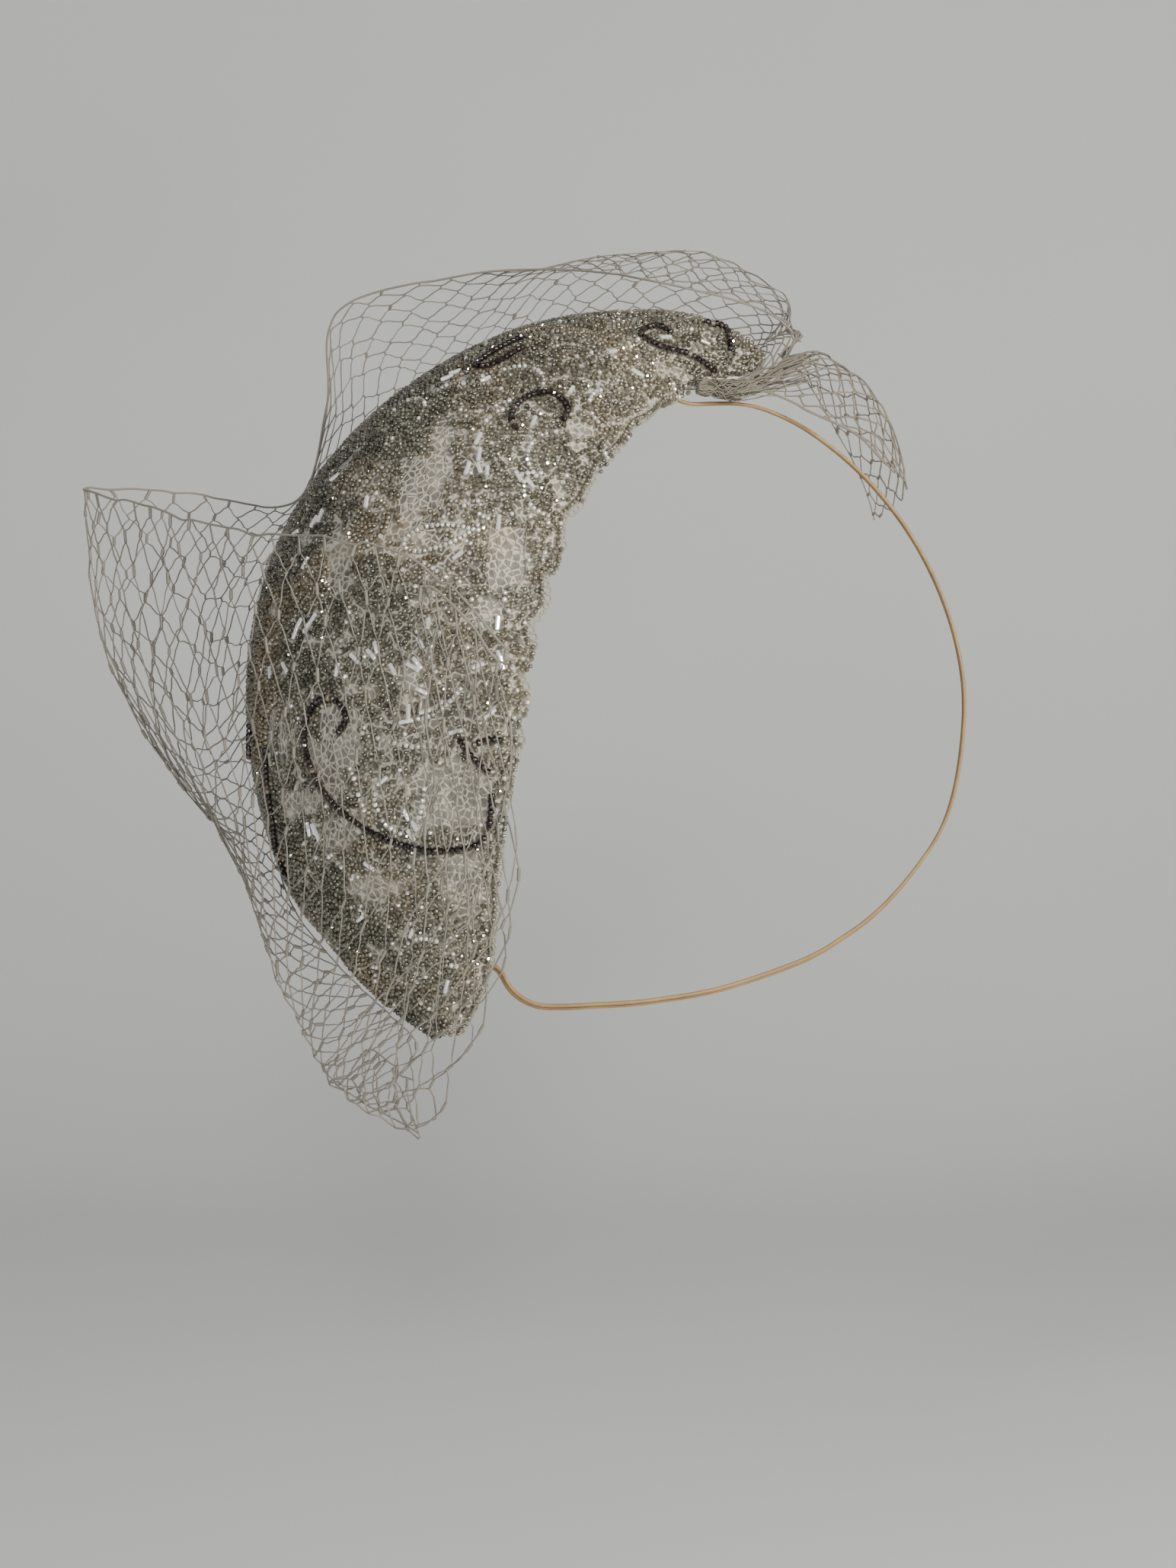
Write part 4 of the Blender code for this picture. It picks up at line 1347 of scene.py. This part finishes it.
@dataclass
class Veil:
    """The net veil, its loose end and the gathers under the top tip."""

    shell: Shell
    columns: int = 104
    rows: int = 17
    strands: int = 64
    strand_mm: float = 0.36
    turned_mm: float = 1.3
    bridge_swell: tuple[float, float, float] = (3.5, 0.0, 3.0)
    seed: int = 5

    def veil_place(self, along: np.ndarray, down: np.ndarray) -> np.ndarray:
        """Points of the veil.

        Args:
            along: From 0 to 1, over its folds.
            down: From 0 to 1, hem to seam.

        Returns:
            Head millimetres.
        """
        folds = np.linspace(0, len(VEIL_FOLDS) - 1, 8 * len(VEIL_FOLDS))
        reach = reach_along(smooth_rows(VEIL_FOLDS, folds)[:, 5:8])
        rows = smooth_rows(VEIL_FOLDS, np.interp(along * reach[-1], reach, folds))
        seam = self.shell.lifted(rows[:, 0], np.ones(len(rows)), rows[:, 1:2])
        return self.across_cage(np.stack((rows[:, 8:11], rows[:, 5:8], rows[:, 2:5], seam)), down)

    def turned_edge_place(self, along: np.ndarray, down: np.ndarray) -> np.ndarray:
        """Points of the veil's rear end, where it is turned back on itself."""
        points = self.veil_place(0.94 + 0.06 * along, 0.03 + 0.86 * down)
        return points + unit(points - HEAD_MIDDLE) * self.turned_mm

    @staticmethod
    def across_cage(cage: np.ndarray, down: np.ndarray) -> np.ndarray:
        """Points across a cage of lines, each point in its own column.

        Args:
            cage: Lines by points by three.
            down: From 0 to 1 for each point.

        Returns:
            The points.
        """
        last = len(cage) - 1
        at = np.clip(down, 0, 1) * last
        row = np.minimum(at.astype(int), last - 1)
        pick = np.arange(cage.shape[1])
        return curve_between(cage[np.maximum(row - 1, 0), pick], cage[row, pick], cage[row + 1, pick],
                             cage[np.minimum(row + 2, last), pick], (at - row)[:, None])

    def end_place(self, along: np.ndarray, down: np.ndarray) -> np.ndarray:
        """Points of the loose end: along its folds, down from its near to its far edge."""
        rows = smooth_rows(VEIL_END_FOLDS, along * (len(VEIL_END_FOLDS) - 1))
        return self.across_cage(rows.reshape(-1, 3, 3).transpose(1, 0, 2), down)

    def bridge_place(self, along: np.ndarray, down: np.ndarray) -> np.ndarray:
        """Points of the net where it turns over the top tip into its loose end.

        Args:
            along: From 0 to 1, veil to loose end.
            down: From 0 to 1, hem to seam.

        Returns:
            Head millimetres.
        """
        near = self.veil_place(np.full(len(along), 0.004), down)
        far = self.end_place(np.full(len(along), 0.03), 1 - down)
        swell = np.sin(math.pi * along)[:, None] * np.array(self.bridge_swell)
        return near + (far - near) * along[:, None] + swell

    def gathers(self) -> None:
        """Bunches the net's threads under the top tip and spreads them into the loose end."""
        rng = np.random.default_rng(self.seed)
        axis = unit(GATHER_END - GATHER_START)
        side = unit(np.cross(axis, (0.0, 0.0, 1.0)))
        up = np.cross(side, axis)
        lines = []
        for number in range(self.strands):
            angle, share = 2.4 * number, math.sqrt((number + 0.5) / self.strands)
            down, reach = rng.random(), rng.uniform(0.08, 0.34)
            points = []
            for step in np.linspace(0, 1, 8):
                radius = (GATHER_RADII[0] + (GATHER_RADII[1] - GATHER_RADII[0]) * step) * share
                turn = angle + 2.6 * step * math.sin(number) + 0.5 * math.sin(9 * step + number)
                points.append(GATHER_START + (GATHER_END - GATHER_START) * step
                              + radius * (math.cos(turn) * side + math.sin(turn) * up))
            start, end = points[-1], self.end_place(np.array((reach,)), np.array((down,)))[0]
            for step in (0.35, 0.7, 1.0):
                points.append(start + (end - start) * step + rng.normal(0, 0.9 * (1.15 - step), 3))
            lines.append(even_line(np.array(points), 1.0))
        gather = tube_mesh("gathered_threads", lines, self.strand_mm / 2, 0)
        add_piece("gathered_threads", gather, TAIL_THREAD.material(), "net_gather")

    def build(self) -> None:
        """Makes the veil, the loose end and the gathers."""
        Net("net_turned_edge", self.turned_edge_place, 9, 15, 0.5, NET_THREAD, seed=8).build()
        veil = Net("net_veil", self.veil_place, self.columns, self.rows, 0.44, NET_THREAD, "veil").build()
        Net("net_bridge", self.bridge_place, 6, 14, 0.5, TAIL_THREAD, seed=9).build()
        end = Net("net_loose_end", self.end_place, 18, 14, 0.5, TAIL_THREAD, "veil_end", ripple_mm=0.8)
        end.build()
        self.gathers()


@dataclass
class Elastic:
    """The two strands of covered elastic, which run round the head."""

    shell: Shell

    def strands(self) -> dict[str, np.ndarray]:
        """The strands' middle lines.

        Returns:
            Head millimetres for each strand's name.
        """
        seats = (ELASTIC_LEFT_END, ELASTIC_TOP_END)
        ends = [self.shell.lifted(at[:, 0], at[:, 1], ELASTIC_SEAT_LIFT) for at in seats]
        middle = even_line(np.vstack((ends[0], ELASTIC_ROUTE, ends[1])), 1.0)
        places = np.linspace(0, len(middle) - 1, STRAND_POINTS)
        middle = np.column_stack([np.interp(places, range(len(middle)), middle[:, k]) for k in range(3)])
        side = unit(np.cross(np.gradient(middle, axis=0), middle - HEAD_MIDDLE)) * STRAND_SPACING / 2
        return {"elastic_upper": middle + side, "elastic_lower": middle - side}

    def build(self) -> None:
        """Makes both strands."""
        finish = ELASTIC_THREAD.material()
        for name, line in self.strands().items():
            points = to_row(even_line(line, 2.5))
            curve = tube_curve("covered_" + name, [points], STRAND_RADIUS, 3)
            item = add_piece("covered_" + name, curve, finish, name)
            float(reach_along(points)[-1])


@dataclass
class Studio:
    """The pale wall and floor, the soft lights and the camera."""

    distance: float = 0.85
    frame_height: float = PHOTO_SIZE[1] / PIXELS_PER_MM * MM
    sensor_height: float = 36.0
    floor_z: float = -0.32
    floor_near: float = -2.05
    floor_reach: float = 3.0
    wall_bend: float = 0.6
    wall_slope: float = 9.0
    half_width: float = 4.0
    aim: tuple[float, float, float] = (-40.0, 0.0, 10.0)
    air_colour: str = "#dfe3e6"
    air_strength: float = 0.20

    def profile(self, share: float) -> tuple[float, float]:
        """How deep and how high the backdrop is at a share of its length.

        Args:
            share: From 0 at the floor's near edge to 1 at the wall's top.

        Returns:
            Metres from the floor's near edge and over the floor.
        """
        if share < 0.5:
            return share * 2 * self.floor_reach, 0.0
        angle = min((share - 0.5) / 0.2, 1.0) * math.pi / 2
        return (self.floor_reach + self.wall_bend * math.sin(angle),
                self.wall_bend * (1 - math.cos(angle)) + max(share - 0.7, 0.0) * self.wall_slope)

    def backdrop(self) -> None:
        """Bends a wall into a floor."""
        mesh = bmesh.new()
        bmesh.ops.create_grid(mesh, x_segments=2, y_segments=60, size=1.0)
        for corner in mesh.verts:
            depth, height = self.profile(corner.co.y / 2 + 0.5)
            corner.co = (corner.co.x * self.half_width, self.floor_near + depth, self.floor_z + height)
        bmesh.ops.recalc_face_normals(mesh, faces=mesh.faces[:])
        data = bpy.data.meshes.new("studio_wall")
        mesh.to_mesh(data)
        mesh.free()
        data.materials.append(WALL_PAINT.material())
        add_object("studio_wall", smoothed(data))

    def build(self) -> None:
        """Sets the wall, the lights and the camera."""
        self.backdrop()
        middle = to_row(np.array(self.aim))
        for name, spot, size, watts, colour in LIGHTS:
            lamp = bpy.data.lights.new(name, "AREA")
            lamp.size, lamp.energy, lamp.color = size, watts, linear(colour)[:3]
            item = add_object(name, lamp)
            item.location = spot
            item.rotation_euler = (Vector(middle) - Vector(spot)).to_track_quat("-Z", "Y").to_euler()
        world = bpy.data.worlds.new("studio_air")
        world.use_nodes = True
        air = world.node_tree.nodes["Background"].inputs
        air["Color"].default_value = linear(self.air_colour)
        air["Strength"].default_value = self.air_strength
        bpy.context.scene.world = world
        lens = bpy.data.cameras.new("camera")
        lens.sensor_fit = "VERTICAL"
        lens.sensor_height = self.sensor_height
        lens.lens = self.sensor_height * self.distance / self.frame_height
        camera = add_object("camera", lens)
        middle_x = (PHOTO_SIZE[0] / 2 - PHOTO_MIDDLE[0]) / PIXELS_PER_MM
        middle_z = (PHOTO_MIDDLE[1] - PHOTO_SIZE[1] / 2) / PIXELS_PER_MM
        camera.location = to_row(np.array((middle_x, EYE[1], middle_z)))
        camera.rotation_euler = (math.pi / 2, 0.0, 0.0)
        bpy.context.scene.camera = camera


def main() -> None:
    """Builds every sub-assembly in order."""
    logging.basicConfig(level=logging.INFO, format="%(message)s")
    shell = Shell()
    Studio().build()
    for part in (Elastic, HatBody, DarkStrings, Beadwork, Veil):
        part(shell).build()


if __name__ == "__main__":
    main()
